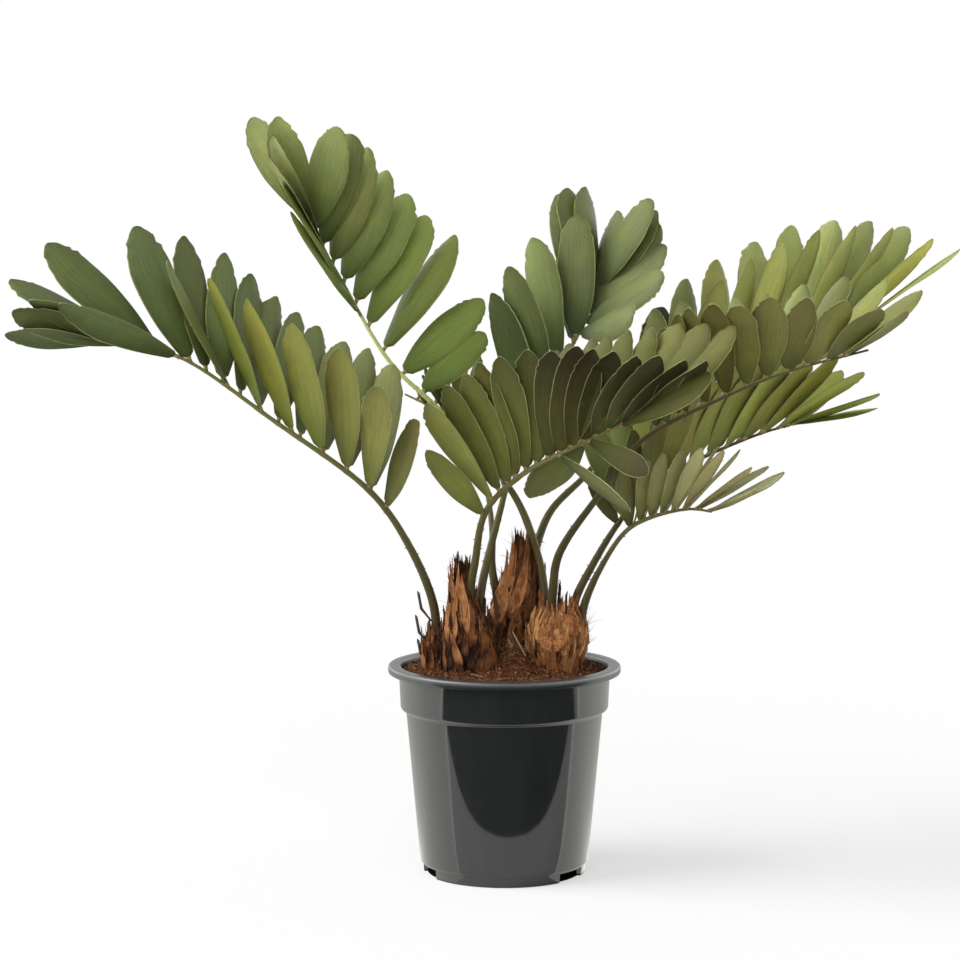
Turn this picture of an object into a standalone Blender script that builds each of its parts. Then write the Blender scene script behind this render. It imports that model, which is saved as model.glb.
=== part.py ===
"""A cardboard palm (Zamia furfuracea) growing in a round plastic nursery pot.

The origin is on the pot's axis, on the surface that the pot stands on. +Z is up, and -Y is the
side that the plant is seen from. All sizes are in metres and all angles in degrees.
"""

import math
from collections import namedtuple

import bmesh
import bpy
from mathutils import Vector

# The pot: a 21 cm nursery pot, with a collar under its rim and a foot ring below its floor.
POT_HEIGHT = 0.192
RIM_RADIUS = 0.105
RIM_DEPTH = 0.0065
COLLAR_TOP_RADIUS = 0.0955
COLLAR_FOOT_RADIUS = 0.0935
COLLAR_FOOT_HEIGHT = 0.151
BODY_TOP_RADIUS = 0.0890
BODY_FOOT_RADIUS = 0.0760
FOOT_HEIGHT = 0.010
FOOT_TOP_RADIUS = 0.0740
FOOT_RADIUS = 0.0730
FOOT_WIDTH = 0.0040
WALL = 0.0016
FLOOR_THICKNESS = 0.0025
POT_SEGMENTS = 48
FOOT_GAPS = 3
FOOT_GAP_WIDTH = 0.030
FOOT_GAP_HEIGHT = 0.0085
FIRST_GAP_AZIMUTH = -36.0
DRAIN_HOLES = 6
DRAIN_HOLE_RADIUS = 0.006
DRAIN_CIRCLE_RADIUS = 0.055
FIRST_HOLE_AZIMUTH = 26.0

# The potting mix, and the clearance that keeps touching solids from overlapping.
SOIL_HEIGHT = 0.186
SOIL_CROWN = 0.002
CLEARANCE = 0.0003

# The crowns: woody stem bases, each a stack of rings from its foot in the soil to its tip.
CROWN_FOOT_HEIGHT = 0.150
CROWN_SIDES = 14
CROWN_LOBES = 5
CROWN_LOBE_DEPTH = 0.07

# The fronds: a round petiole and rachis, and flat leaflets on both sides.
PETIOLE_RADIUS = 0.0042
RACHIS_MIDDLE_RADIUS = 0.0028
RACHIS_TIP_RADIUS = 0.0013
RACHIS_SIDES = 8
RACHIS_STATIONS = 24
ROUTE_SAMPLES = 240
LEAFLET_WIDTH = 0.027
LEAFLET_THICKNESS = 0.0018
LEAFLET_FOOT_SHARE = 0.16
LEAFLET_WIDEST = 0.60
LEAFLET_FILL = 0.95
LEAFLET_BLUNTNESS = 3
LEAFLET_STATIONS = (0.0, 0.28, 0.62, 0.88, 0.97)
LEAFLET_BOW = 0.06

Crown = namedtuple("Crown", "centre phase rings")

CROWNS = {
    "crown_left": Crown(
        (-0.031, -0.020),
        20,
        [(0.150, 0.026), (0.205, 0.027), (0.232, 0.022), (0.258, 0.014), (0.290, 0.003)],
    ),
    "crown_middle": Crown(
        (0.012, 0.026),
        65,
        [(0.150, 0.020), (0.205, 0.022), (0.240, 0.020), (0.272, 0.012), (0.310, 0.003)],
    ),
    "crown_right": Crown(
        (0.049, -0.012),
        5,
        [(0.150, 0.024), (0.200, 0.028), (0.222, 0.028), (0.236, 0.023), (0.244, 0.012)],
    ),
    "crown_offset": Crown(
        (-0.0645, 0.000),
        40,
        [(0.150, 0.009), (0.190, 0.011), (0.212, 0.010), (0.224, 0.006)],
    ),
}

# A row is the leaflets along one side of a rachis. "at" is where they sit, as a share of
# the rachis from the crown. "forward" is the angle in degrees between leaflet and rachis,
# "lift" how far it is raised out of the frond's flat, "twist" its turn about its own length.
# Each is one value, or the values at the row's first, middle and last leaflet.
Row = namedtuple("Row", "side count at forward lift twist length width", defaults=(LEAFLET_WIDTH,))
Frond = namedtuple("Frond", "roll route rows")

FRONDS = {
    "frond_left_long": Frond(
        0,
        [
            (-0.062, 0.000, 0.206),
            (-0.065, 0.000, 0.247),
            (-0.088, -0.008, 0.304),
            (-0.121, -0.018, 0.352),
            (-0.207, -0.034, 0.418),
            (-0.287, -0.050, 0.475),
            (-0.330, -0.055, 0.488),
            (-0.367, -0.060, 0.490),
        ],
        [
            Row(
                "left", 7, (0.315, 0.485, 0.71), (62, 46, 30), (37, 62, 84),
                (46, 18, 75), (0.120, 0.135, 0.127), 0.032,
            ),
            Row(
                "left", 4, (0.825, 0.91, 0.985), (18, 22, 12), (12, 43, 44),
                (-50, -4, 15), (0.125, 0.115, 0.085), 0.033,
            ),
            Row(
                "right", 10, (0.36, 0.615, 0.80), (57, 75, 41), (72, 59, 77),
                (12, 20, 12), (0.126, 0.121, 0.134), 0.034,
            ),
            Row("right", 2, (0.87, 0.94), (28, 40), (80, 40), (15, 10), (0.138, 0.133), 0.034),
        ],
    ),
    "frond_left_high": Frond(
        -45,
        [
            (0.037, 0.000, 0.225),
            (0.036, 0.012, 0.262),
            (0.028, 0.020, 0.299),
            (0.008, 0.044, 0.345),
            (-0.060, 0.070, 0.420),
            (-0.107, 0.090, 0.464),
            (-0.157, 0.110, 0.547),
            (-0.191, 0.120, 0.603),
        ],
        [
            Row(
                "right", 7, (0.675, 0.835, 0.955), (61, 50, 58), (13, 31, 79),
                (-36, -11, 12), (0.135, 0.116, 0.117), 0.031,
            ),
            Row("right", 1, 1.0, 13, 59, -2, 0.092, 0.031),
            Row("right", 1, 0.613, 88, 13, 0, 0.111, 0.038),
            Row("right", 1, 0.558, 89, 14, 0, 0.087, 0.034),
            Row(
                "left", 5, (0.76, 0.87, 0.96), (34, 43, 43), (62, 63, 60),
                (11, 5, -37), (0.118, 0.125, 0.124), 0.031,
            ),
            Row("left", 1, 1.0, 14, 63, 42, 0.110, 0.031),
        ],
    ),
    "frond_centre": Frond(
        0,
        [
            (-0.034, -0.028, 0.226),
            (-0.033, -0.027, 0.252),
            (-0.027, -0.034, 0.290),
            (-0.017, -0.055, 0.339),
            (0.016, -0.080, 0.375),
            (0.057, -0.110, 0.400),
            (0.096, -0.140, 0.422),
            (0.141, -0.170, 0.447),
        ],
        [
            Row(
                "right", 14, (0.385, 0.61, 0.885), (62, 46, 20), (47, 52, 26),
                (-26, 4, 15), (0.118, 0.130, 0.110), 0.029,
            ),
            Row(
                "left", 12, (0.43, 0.68, 0.98), (66, 56, 24), (65, 85, 75),
                0, (0.106, 0.100, 0.090),
            ),
            Row("right", 1, 0.83, 14, 6, 75, 0.120, 0.024),
            Row("right", 1, 0.729, 43, -57, 180, 0.112, 0.020),
            Row("right", 1, 0.628, 52, -63, 50, 0.112, 0.018),
            Row("left", 1, 0.714, 160, -36, 180, 0.108, 0.030),
            Row("right", 1, 0.332, 49, 14, 0, 0.110, 0.022),
        ],
    ),
    "frond_top": Frond(
        0,
        [
            (-0.024, -0.008, 0.230),
            (-0.021, 0.002, 0.262),
            (-0.006, 0.025, 0.322),
            (0.015, 0.055, 0.393),
            (0.041, 0.075, 0.448),
            (0.068, 0.090, 0.486),
            (0.085, 0.108, 0.530),
        ],
        [
            Row(
                "left", 4, (0.60, 0.73, 0.835), (45, 54, 33), (71, 80, 42),
                (53, 52, 19), (0.121, 0.119, 0.128), 0.031,
            ),
            Row(
                "left", 3, (0.955, 0.985, 1.0), (33, 29, 20), 48,
                (-6, -21, -33), (0.114, 0.109, 0.105), 0.031,
            ),
            Row(
                "right", 6, (0.87, 0.94, 1.0), (86, 38, 41), (21, 8, 35),
                (5, 16, 32), (0.101, 0.102, 0.106), 0.031,
            ),
        ],
    ),
    "frond_right_back": Frond(
        0,
        [
            (0.018, 0.020, 0.230),
            (0.022, 0.026, 0.262),
            (0.041, 0.060, 0.322),
            (0.074, 0.090, 0.354),
            (0.111, 0.120, 0.388),
            (0.170, 0.150, 0.424),
            (0.239, 0.180, 0.459),
            (0.309, 0.200, 0.487),
            (0.357, 0.210, 0.502),
        ],
        [
            Row(
                "left", 8, (0.495, 0.785, 0.95), (43, 57, 36), (64, 68, 88),
                (-23, -21, -23), (0.124, 0.127, 0.115), 0.033,
            ),
            Row(
                "right", 8, (0.605, 0.815, 1.0), (58, 47, 25), (74, 85, 64),
                (-2, 33, 40), (0.116, 0.128, 0.112), 0.030,
            ),
        ],
    ),
    "frond_right_front": Frond(
        0,
        [
            (0.042, -0.012, 0.220),
            (0.044, -0.014, 0.262),
            (0.049, -0.020, 0.295),
            (0.084, -0.045, 0.352),
            (0.120, -0.065, 0.402),
            (0.190, -0.100, 0.444),
            (0.241, -0.120, 0.467),
            (0.311, -0.145, 0.488),
        ],
        [
            Row(
                "right", 10, (0.55, 0.765, 0.955), (51, 63, 36), (51, 39, 33),
                (-44, -21, 30), (0.110, 0.118, 0.084), 0.030,
            ),
            Row(
                "left", 9, (0.525, 0.74, 0.94), (66, 77, 32), (87, 45, 64),
                (14, 7, 30), (0.110, 0.115, 0.092), 0.030,
            ),
        ],
    ),
    "frond_right_low": Frond(
        0,
        [
            (0.060, -0.004, 0.218),
            (0.065, 0.000, 0.251),
            (0.078, 0.004, 0.278),
            (0.110, 0.012, 0.328),
            (0.138, 0.020, 0.354),
            (0.178, 0.030, 0.377),
            (0.235, 0.040, 0.400),
            (0.267, 0.045, 0.409),
        ],
        [
            Row(
                "right", 9, (0.42, 0.66, 0.90), (64, 58, 50), (50, 50, 45),
                (0, 0, 10), (0.105, 0.115, 0.112),
            ),
            Row(
                "right", 3, (0.95, 0.98, 1.0), (46, 34, 22), (35, 20, 0),
                0, (0.108, 0.096, 0.080), 0.024,
            ),
            Row(
                "left", 9, (0.42, 0.68, 0.97), (64, 56, 34), (60, 60, 40),
                0, (0.100, 0.115, 0.095),
            ),
            Row("right", 1, 0.402, 78, 50, 0, 0.084, 0.022),
            Row("right", 1, 0.372, 78, 60, 0, 0.082, 0.018),
            Row("right", 1, 0.598, 89, 1, 0, 0.090, 0.020),
        ],
    ),
    "frond_right_small": Frond(
        0,
        [
            (0.067, -0.014, 0.218),
            (0.073, -0.014, 0.250),
            (0.087, -0.018, 0.283),
            (0.109, -0.032, 0.318),
            (0.128, -0.044, 0.331),
            (0.163, -0.066, 0.342),
            (0.183, -0.076, 0.341),
        ],
        [
            Row(
                "right", 8, (0.58, 0.78, 0.98), (56, 50, 36), (70, 80, 60),
                (50, 60, 70), (0.058, 0.070, 0.078), 0.017,
            ),
            Row(
                "left", 8, (0.60, 0.80, 0.99), (56, 50, 36), (70, 80, 90),
                (50, 60, 60), (0.060, 0.070, 0.078), 0.017,
            ),
        ],
    ),
    "frond_back": Frond(
        0,
        [
            (-0.001, 0.026, 0.226),
            (-0.011, 0.030, 0.276),
            (-0.011, 0.050, 0.310),
            (-0.019, 0.092, 0.353),
            (-0.041, 0.126, 0.393),
            (-0.070, 0.160, 0.416),
            (-0.095, 0.184, 0.427),
        ],
        [
            Row(
                "right", 4, (0.64, 0.82, 0.945), (34, 60, 84), (71, 60, 50),
                (-19, -30, -30), (0.095, 0.074, 0.058), 0.026,
            ),
            Row(
                "left", 4, (0.625, 0.67, 0.71), (31, 24, 26), (31, 56, 90),
                (2, 28, 59), (0.083, 0.080, 0.080), 0.024,
            ),
            Row("left", 1, 0.593, 32, 83, 0, 0.125, 0.024),
            Row("left", 1, 0.533, 20, 93, 60, 0.100, 0.020),
        ],
    ),
}

# Which crown each frond grows from.
GROWS_FROM = {
    "frond_left_long": "crown_offset",
    "frond_left_high": "crown_right",
    "frond_centre": "crown_left",
    "frond_top": "crown_left",
    "frond_right_back": "crown_middle",
    "frond_right_front": "crown_right",
    "frond_right_low": "crown_right",
    "frond_right_small": "crown_right",
    "frond_back": "crown_middle",
}

# Base colour, roughness and metallic value of each material.
MATERIALS = {
    "slate_plastic": ((0.075, 0.082, 0.085), 0.28, 0.0),
    "coir_mix": ((0.120, 0.050, 0.022), 0.95, 0.0),
    "dry_husk": ((0.300, 0.150, 0.065), 0.85, 0.0),
    "leaf_green": ((0.095, 0.130, 0.050), 0.50, 0.0),
}


def clear_scene():
    for item in list(bpy.data.objects):
        bpy.data.objects.remove(item, do_unlink=True)


def material(name):
    if name in bpy.data.materials:
        return bpy.data.materials[name]
    colour, roughness, metallic = MATERIALS[name]
    made = bpy.data.materials.new(name)
    made.use_nodes = True
    surface = made.node_tree.nodes["Principled BSDF"]
    surface.inputs["Base Color"].default_value = (*colour, 1.0)
    surface.inputs["Roughness"].default_value = roughness
    surface.inputs["Metallic"].default_value = metallic
    made.diffuse_color = (*colour, 1.0)
    return made


def new_object(name, shape, finish):
    """An object of this bmesh, with its faces turned outwards."""
    bmesh.ops.recalc_face_normals(shape, faces=shape.faces)
    mesh = bpy.data.meshes.new(name)
    shape.to_mesh(mesh)
    shape.free()
    made = bpy.data.objects.new(name, mesh)
    made.data.materials.append(material(finish))
    bpy.context.scene.collection.objects.link(made)
    return made


def smooth(made, angle=40):
    made.data.shade_smooth()
    made.data.set_sharp_from_angle(angle=math.radians(angle))


def as_helper(made):
    """Keeps a cutter or a source shape out of the finished object."""
    made.hide_render = True
    made.display_type = "WIRE"
    return made


def combine(target, other, operation, title):
    """A Boolean of target with one object, or with every object of a collection."""
    step = target.modifiers.new(title, "BOOLEAN")
    step.operation = operation
    step.solver = "EXACT"
    if isinstance(other, bpy.types.Collection):
        step.operand_type = "COLLECTION"
        step.collection = other
    else:
        step.object = other


def ring_of(shape, centre, radius, sides, height, wave=None):
    """A closed ring of vertices around a vertical axis."""
    ring = []
    for index in range(sides):
        turn = 2 * math.pi * index / sides
        reach = radius * (wave(turn) if wave else 1.0)
        place = (centre[0] + reach * math.cos(turn), centre[1] + reach * math.sin(turn), height)
        ring.append(shape.verts.new(place))
    return ring


def bridge(shape, lower, upper):
    for index in range(len(lower)):
        following = (index + 1) % len(lower)
        shape.faces.new((lower[index], lower[following], upper[following], upper[index]))


def lathe(name, profile, finish):
    """A solid turned about the Z axis. A profile point on the axis closes it there."""
    shape = bmesh.new()
    rings = []
    for radius, height in profile:
        if radius == 0.0:
            rings.append([shape.verts.new((0.0, 0.0, height))])
        else:
            rings.append(ring_of(shape, (0.0, 0.0), radius, POT_SEGMENTS, height))
    for first, second in zip(rings, rings[1:]):
        if len(first) == 1 or len(second) == 1:
            hub = first[0] if len(first) == 1 else second[0]
            rim = second if len(first) == 1 else first
            for index in range(POT_SEGMENTS):
                shape.faces.new((hub, rim[index], rim[(index + 1) % POT_SEGMENTS]))
        else:
            bridge(shape, first, second)
    return new_object(name, shape, finish)


def block(name, size, centre, azimuth):
    """A box whose long side points along this azimuth."""
    shape = bmesh.new()
    bmesh.ops.create_cube(shape, size=1.0)
    bmesh.ops.scale(shape, vec=Vector(size), verts=shape.verts)
    made = new_object(name, shape, "slate_plastic")
    made.location = centre
    made.rotation_euler = (0.0, 0.0, math.radians(azimuth))
    return as_helper(made)


def inner_radius(height):
    """The pot's inside radius at a height, between its floor and its rim."""
    if height <= COLLAR_FOOT_HEIGHT:
        share = (height - FOOT_HEIGHT) / (COLLAR_FOOT_HEIGHT - FOOT_HEIGHT)
        return BODY_FOOT_RADIUS + (BODY_TOP_RADIUS - BODY_FOOT_RADIUS) * share - WALL
    share = (height - COLLAR_FOOT_HEIGHT) / (POT_HEIGHT - COLLAR_FOOT_HEIGHT)
    return COLLAR_FOOT_RADIUS + (COLLAR_TOP_RADIUS - COLLAR_FOOT_RADIUS) * share - WALL


FLOOR_TOP = FOOT_HEIGHT + FLOOR_THICKNESS
LEDGE = 0.0015
RIM_EDGE = 0.0012


def pot():
    """One moulded shell: floor, tapered wall, stepped collar, flat rim and a foot ring in arcs."""
    rim_foot = POT_HEIGHT - RIM_DEPTH
    collar_inside = COLLAR_FOOT_HEIGHT + LEDGE
    profile = [
        (0.0, FLOOR_TOP),
        (inner_radius(FLOOR_TOP), FLOOR_TOP),
        (inner_radius(COLLAR_FOOT_HEIGHT), COLLAR_FOOT_HEIGHT),
        (inner_radius(collar_inside), collar_inside),
        (inner_radius(POT_HEIGHT), POT_HEIGHT),
        (RIM_RADIUS - RIM_EDGE, POT_HEIGHT),
        (RIM_RADIUS, POT_HEIGHT - RIM_EDGE),
        (RIM_RADIUS, rim_foot + RIM_EDGE),
        (RIM_RADIUS - RIM_EDGE, rim_foot),
        (COLLAR_TOP_RADIUS, rim_foot),
        (COLLAR_FOOT_RADIUS, COLLAR_FOOT_HEIGHT),
        (BODY_TOP_RADIUS, COLLAR_FOOT_HEIGHT - LEDGE),
        (BODY_FOOT_RADIUS, FOOT_HEIGHT),
        (FOOT_TOP_RADIUS, FOOT_HEIGHT),
        (FOOT_RADIUS, 0.0),
        (FOOT_RADIUS - FOOT_WIDTH, 0.0),
        (FOOT_RADIUS - FOOT_WIDTH, FOOT_HEIGHT),
        (0.0, FOOT_HEIGHT),
    ]
    shell = lathe("pot", profile, "slate_plastic")
    smooth(shell)
    for index in range(FOOT_GAPS):
        azimuth = FIRST_GAP_AZIMUTH + 360 * index / FOOT_GAPS
        turn = math.radians(azimuth)
        centre = (FOOT_RADIUS * math.cos(turn), FOOT_RADIUS * math.sin(turn), 0.0)
        size = (4 * FOOT_WIDTH, FOOT_GAP_WIDTH, 2 * FOOT_GAP_HEIGHT)
        gap = block(f"foot_gap_{index + 1}", size, centre, azimuth)
        combine(shell, gap, "DIFFERENCE", gap.name)
    for index in range(DRAIN_HOLES):
        turn = math.radians(FIRST_HOLE_AZIMUTH + 360 * index / DRAIN_HOLES)
        shape = bmesh.new()
        bmesh.ops.create_cone(
            shape,
            cap_ends=True,
            segments=12,
            radius1=DRAIN_HOLE_RADIUS,
            radius2=DRAIN_HOLE_RADIUS,
            depth=4 * FLOOR_THICKNESS,
        )
        hole = as_helper(new_object(f"drain_hole_{index + 1}", shape, "slate_plastic"))
        hole.location = (
            DRAIN_CIRCLE_RADIUS * math.cos(turn),
            DRAIN_CIRCLE_RADIUS * math.sin(turn),
            FOOT_HEIGHT + FLOOR_THICKNESS / 2,
        )
        combine(shell, hole, "DIFFERENCE", hole.name)
    return shell


def crown_shape(name, crown, grow=0.0):
    """A woody stem base with lobed sides. grow widens it on every side, for the pocket it sits in."""

    def wave(turn):
        return 1.0 + CROWN_LOBE_DEPTH * math.cos(CROWN_LOBES * turn + math.radians(crown.phase))

    shape = bmesh.new()
    rings = []
    for height, radius in crown.rings:
        foot = height == crown.rings[0][0]
        level = height - grow if foot else height
        rings.append(ring_of(shape, crown.centre, radius + grow, CROWN_SIDES, level, wave))
    for lower, upper in zip(rings, rings[1:]):
        bridge(shape, lower, upper)
    shape.faces.new(rings[0])
    shape.faces.new(rings[-1])
    return new_object(name, shape, "dry_husk")


def potting_mix():
    """The mix fills the pot to just under its rim, with a pocket around each crown."""
    low = FLOOR_TOP + CLEARANCE
    collar = COLLAR_FOOT_HEIGHT
    above_collar = collar + LEDGE
    profile = [
        (0.0, SOIL_HEIGHT + SOIL_CROWN),
        (0.5 * inner_radius(SOIL_HEIGHT), SOIL_HEIGHT + 0.8 * SOIL_CROWN),
        (inner_radius(SOIL_HEIGHT) - 2 * CLEARANCE, SOIL_HEIGHT),
        (inner_radius(above_collar) - 2 * CLEARANCE, above_collar + CLEARANCE),
        (inner_radius(collar) - 2 * CLEARANCE, collar),
        (inner_radius(low) - 2 * CLEARANCE, low),
        (0.0, low),
    ]
    mix = lathe("potting_mix", profile, "coir_mix")
    smooth(mix)
    for name, crown in CROWNS.items():
        pocket = as_helper(crown_shape(f"{name}_pocket", crown, grow=CLEARANCE))
        combine(mix, pocket, "DIFFERENCE", pocket.name)
    return mix


def smooth_route(points, count=ROUTE_SAMPLES):
    """Evenly spaced points along a centripetal Catmull-Rom curve through the given points."""
    knots = [Vector(point) for point in points]
    knots = [2 * knots[0] - knots[1], *knots, 2 * knots[-1] - knots[-2]]
    dense = []
    for before, start, end, after in zip(knots, knots[1:], knots[2:], knots[3:]):
        t0 = 0.0
        t1 = t0 + math.sqrt((start - before).length)
        t2 = t1 + math.sqrt((end - start).length)
        t3 = t2 + math.sqrt((after - end).length)
        for step in range(40):
            t = t1 + (t2 - t1) * step / 40
            a1 = before.lerp(start, (t - t0) / (t1 - t0))
            a2 = start.lerp(end, (t - t1) / (t2 - t1))
            a3 = end.lerp(after, (t - t2) / (t3 - t2))
            b1 = a1.lerp(a2, (t - t0) / (t2 - t0))
            b2 = a2.lerp(a3, (t - t1) / (t3 - t1))
            dense.append(b1.lerp(b2, (t - t1) / (t2 - t1)))
    dense.append(knots[-2])
    lengths = [0.0]
    for first, second in zip(dense, dense[1:]):
        lengths.append(lengths[-1] + (second - first).length)
    even = []
    at = 0
    for index in range(count):
        wanted = lengths[-1] * index / (count - 1)
        while at < len(lengths) - 2 and lengths[at + 1] < wanted:
            at += 1
        share = (wanted - lengths[at]) / (lengths[at + 1] - lengths[at])
        even.append(dense[at].lerp(dense[at + 1], share))
    return even


def place_on(line, share, roll):
    """Point, tangent, left side and up at a share of the line, rolled about the tangent."""
    last = len(line) - 1
    spot = min(max(share, 0.0), 1.0) * last
    index = min(int(spot), last - 1)
    point = line[index].lerp(line[index + 1], spot - index)
    tangent = (line[min(index + 4, last)] - line[max(index - 3, 0)]).normalized()
    side = Vector((0.0, 0.0, 1.0)).cross(tangent).normalized()
    up = tangent.cross(side)
    turn = math.radians(roll)
    rolled_side = math.cos(turn) * side + math.sin(turn) * up
    rolled_up = math.cos(turn) * up - math.sin(turn) * side
    return point, tangent, rolled_side, rolled_up


def rachis_radius(share):
    """Thick at the petiole's foot, slimmer where the leaflets start, thin at the tip."""
    if share < 0.4:
        return PETIOLE_RADIUS + (RACHIS_MIDDLE_RADIUS - PETIOLE_RADIUS) * share / 0.4
    return RACHIS_MIDDLE_RADIUS + (RACHIS_TIP_RADIUS - RACHIS_MIDDLE_RADIUS) * (share - 0.4) / 0.6


def tube(name, line, stations, grow, finish):
    """A round tube along the first stations of a rachis. grow widens it, and takes its foot back."""
    shape = bmesh.new()
    rings = []
    side = None
    for station in range(stations):
        share = station / (RACHIS_STATIONS - 1)
        point, tangent, fresh_side, _ = place_on(line, share, 0)
        side = fresh_side if side is None else (side - side.dot(tangent) * tangent).normalized()
        up = tangent.cross(side)
        radius = rachis_radius(share) + grow
        if station == 0:
            point = point - grow * tangent
        ring = []
        for index in range(RACHIS_SIDES):
            turn = 2 * math.pi * index / RACHIS_SIDES
            spot = point + radius * (math.cos(turn) * side + math.sin(turn) * up)
            ring.append(shape.verts.new(spot))
        rings.append(ring)
    for lower, upper in zip(rings, rings[1:]):
        bridge(shape, lower, upper)
    shape.faces.new(rings[0])
    shape.faces.new(rings[-1])
    return new_object(name, shape, finish)


def value_at(values, share):
    """One value, or the value at a share of a row given at its ends or its ends and middle."""
    if not isinstance(values, tuple):
        return values
    if len(values) == 2:
        return values[0] + (values[1] - values[0]) * share
    first, middle, last = values
    start_weight = (1 - share) * (1 - 2 * share)
    middle_weight = 4 * share * (1 - share)
    end_weight = share * (2 * share - 1)
    return first * start_weight + middle * middle_weight + last * end_weight


def width_share(share):
    """A leaflet's width as a share of its widest: a wedge at the foot, a round tip."""
    rise = math.sin(min(share / LEAFLET_WIDEST, 1.0) * math.pi / 2) ** LEAFLET_FILL
    width = LEAFLET_FOOT_SHARE + (1 - LEAFLET_FOOT_SHARE) * rise
    if share > LEAFLET_WIDEST:
        past = (share - LEAFLET_WIDEST) / (1 - LEAFLET_WIDEST)
        width *= math.sqrt(max(0.0, 1 - past**LEAFLET_BLUNTNESS))
    return width


def leaflet(name, point, tangent, side, up, row, share):
    """A flat leaflet of diamond section, from inside the rachis to its tip."""
    sign = 1.0 if row.side == "left" else -1.0
    forward = math.radians(value_at(row.forward, share))
    lift = math.radians(value_at(row.lift, share))
    twist = math.radians(value_at(row.twist, share))
    length = value_at(row.length, share)
    outward = math.cos(lift) * sign * side + math.sin(lift) * up
    along = math.cos(forward) * tangent + math.sin(forward) * outward
    across = (tangent - tangent.dot(along) * along).normalized()
    face = along.cross(across)
    if face.dot(sign * tangent.cross(outward)) < 0:
        face.negate()
    edge = math.cos(twist) * across + math.sin(twist) * face
    normal = math.cos(twist) * face - math.sin(twist) * across
    shape = bmesh.new()
    rings = []
    for station in LEAFLET_STATIONS:
        middle = point + along * length * station - normal * LEAFLET_BOW * length * station**2
        half_width = row.width / 2 * width_share(station)
        half_thickness = LEAFLET_THICKNESS / 2
        corners = (
            middle - edge * half_width,
            middle - normal * half_thickness,
            middle + edge * half_width,
            middle + normal * half_thickness,
        )
        rings.append([shape.verts.new(corner) for corner in corners])
    for lower, upper in zip(rings, rings[1:]):
        bridge(shape, lower, upper)
    tip = shape.verts.new(point + along * length - normal * LEAFLET_BOW * length)
    for index in range(4):
        shape.faces.new((rings[-1][index], rings[-1][(index + 1) % 4], tip))
    shape.faces.new(rings[0])
    return as_helper(new_object(name, shape, "leaf_green"))


def frond(name, plan):
    """Petiole, rachis and leaflets, which grow as one piece, joined into one solid."""
    line = smooth_route(plan.route)
    stem = tube(name, line, RACHIS_STATIONS, 0.0, "leaf_green")
    leaflets = bpy.data.collections.new(f"{name}_leaflets")
    bpy.context.scene.collection.children.link(leaflets)
    for row_index, row in enumerate(plan.rows):
        for index in range(row.count):
            share = index / (row.count - 1) if row.count > 1 else 0.5
            spot = place_on(line, value_at(row.at, share), plan.roll)
            title = f"{name}_leaflet_{row_index + 1}_{index + 1}"
            blade = leaflet(title, *spot, row, share)
            bpy.context.scene.collection.objects.unlink(blade)
            leaflets.objects.link(blade)
    combine(stem, leaflets, "UNION", "leaflets")
    return stem


SOCKET_STATIONS = 7


def crown(name, plan):
    """A crown with a socket for the foot of each petiole that grows from it."""
    body = crown_shape(name, plan)
    for frond_name, crown_name in GROWS_FROM.items():
        if crown_name != name:
            continue
        line = smooth_route(FRONDS[frond_name].route)
        socket = tube(f"{frond_name}_socket", line, SOCKET_STATIONS, CLEARANCE, "dry_husk")
        combine(body, as_helper(socket), "DIFFERENCE", socket.name)
    return body


def main():
    clear_scene()
    pot()
    potting_mix()
    for name, plan in CROWNS.items():
        crown(name, plan)
    for name, plan in FRONDS.items():
        frond(name, plan)


main()
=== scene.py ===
"""The looks of a potted cardboard palm: fine leaflets, stems, husked crowns, coir mix and pot.

The frame is the CAD's: metres, +Z up, origin on the pot's axis on the surface it stands on.
The plant is seen from -Y.
"""

import functools
import math
import random
from collections import namedtuple

import bmesh
import bpy
from mathutils import Matrix, Vector, noise


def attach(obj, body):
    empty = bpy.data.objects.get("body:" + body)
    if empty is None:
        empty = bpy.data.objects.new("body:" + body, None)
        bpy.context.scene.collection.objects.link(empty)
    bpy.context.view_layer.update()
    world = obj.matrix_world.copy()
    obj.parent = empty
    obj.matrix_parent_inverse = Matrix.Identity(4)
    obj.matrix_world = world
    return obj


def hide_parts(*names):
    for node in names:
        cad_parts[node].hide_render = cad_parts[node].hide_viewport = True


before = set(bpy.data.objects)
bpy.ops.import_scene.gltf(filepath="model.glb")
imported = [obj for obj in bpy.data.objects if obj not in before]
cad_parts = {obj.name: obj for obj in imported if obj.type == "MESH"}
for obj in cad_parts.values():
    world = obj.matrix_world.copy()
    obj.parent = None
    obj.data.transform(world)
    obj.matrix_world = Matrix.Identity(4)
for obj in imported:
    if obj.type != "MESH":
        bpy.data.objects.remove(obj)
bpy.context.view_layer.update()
dice = random.Random(7)

# A row is the leaflets along one side of a rachis. "at" is where they sit, as a share of the
# rachis from the crown. "forward" is the angle in degrees between leaflet and rachis, "lift" how
# far it is raised out of the frond's flat, "twist" its turn about its own length. Each is one
# value, or the values at the row's ends, or at its first, middle and last leaflet. A frond's
# route runs from the crown to its tip, and "roll" turns its flat about the route.
LEAFLET_WIDTH = 0.027
Row = namedtuple("Row", "side count at forward lift twist length width", defaults=(LEAFLET_WIDTH,))
Frond = namedtuple("Frond", "roll route rows")

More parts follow.
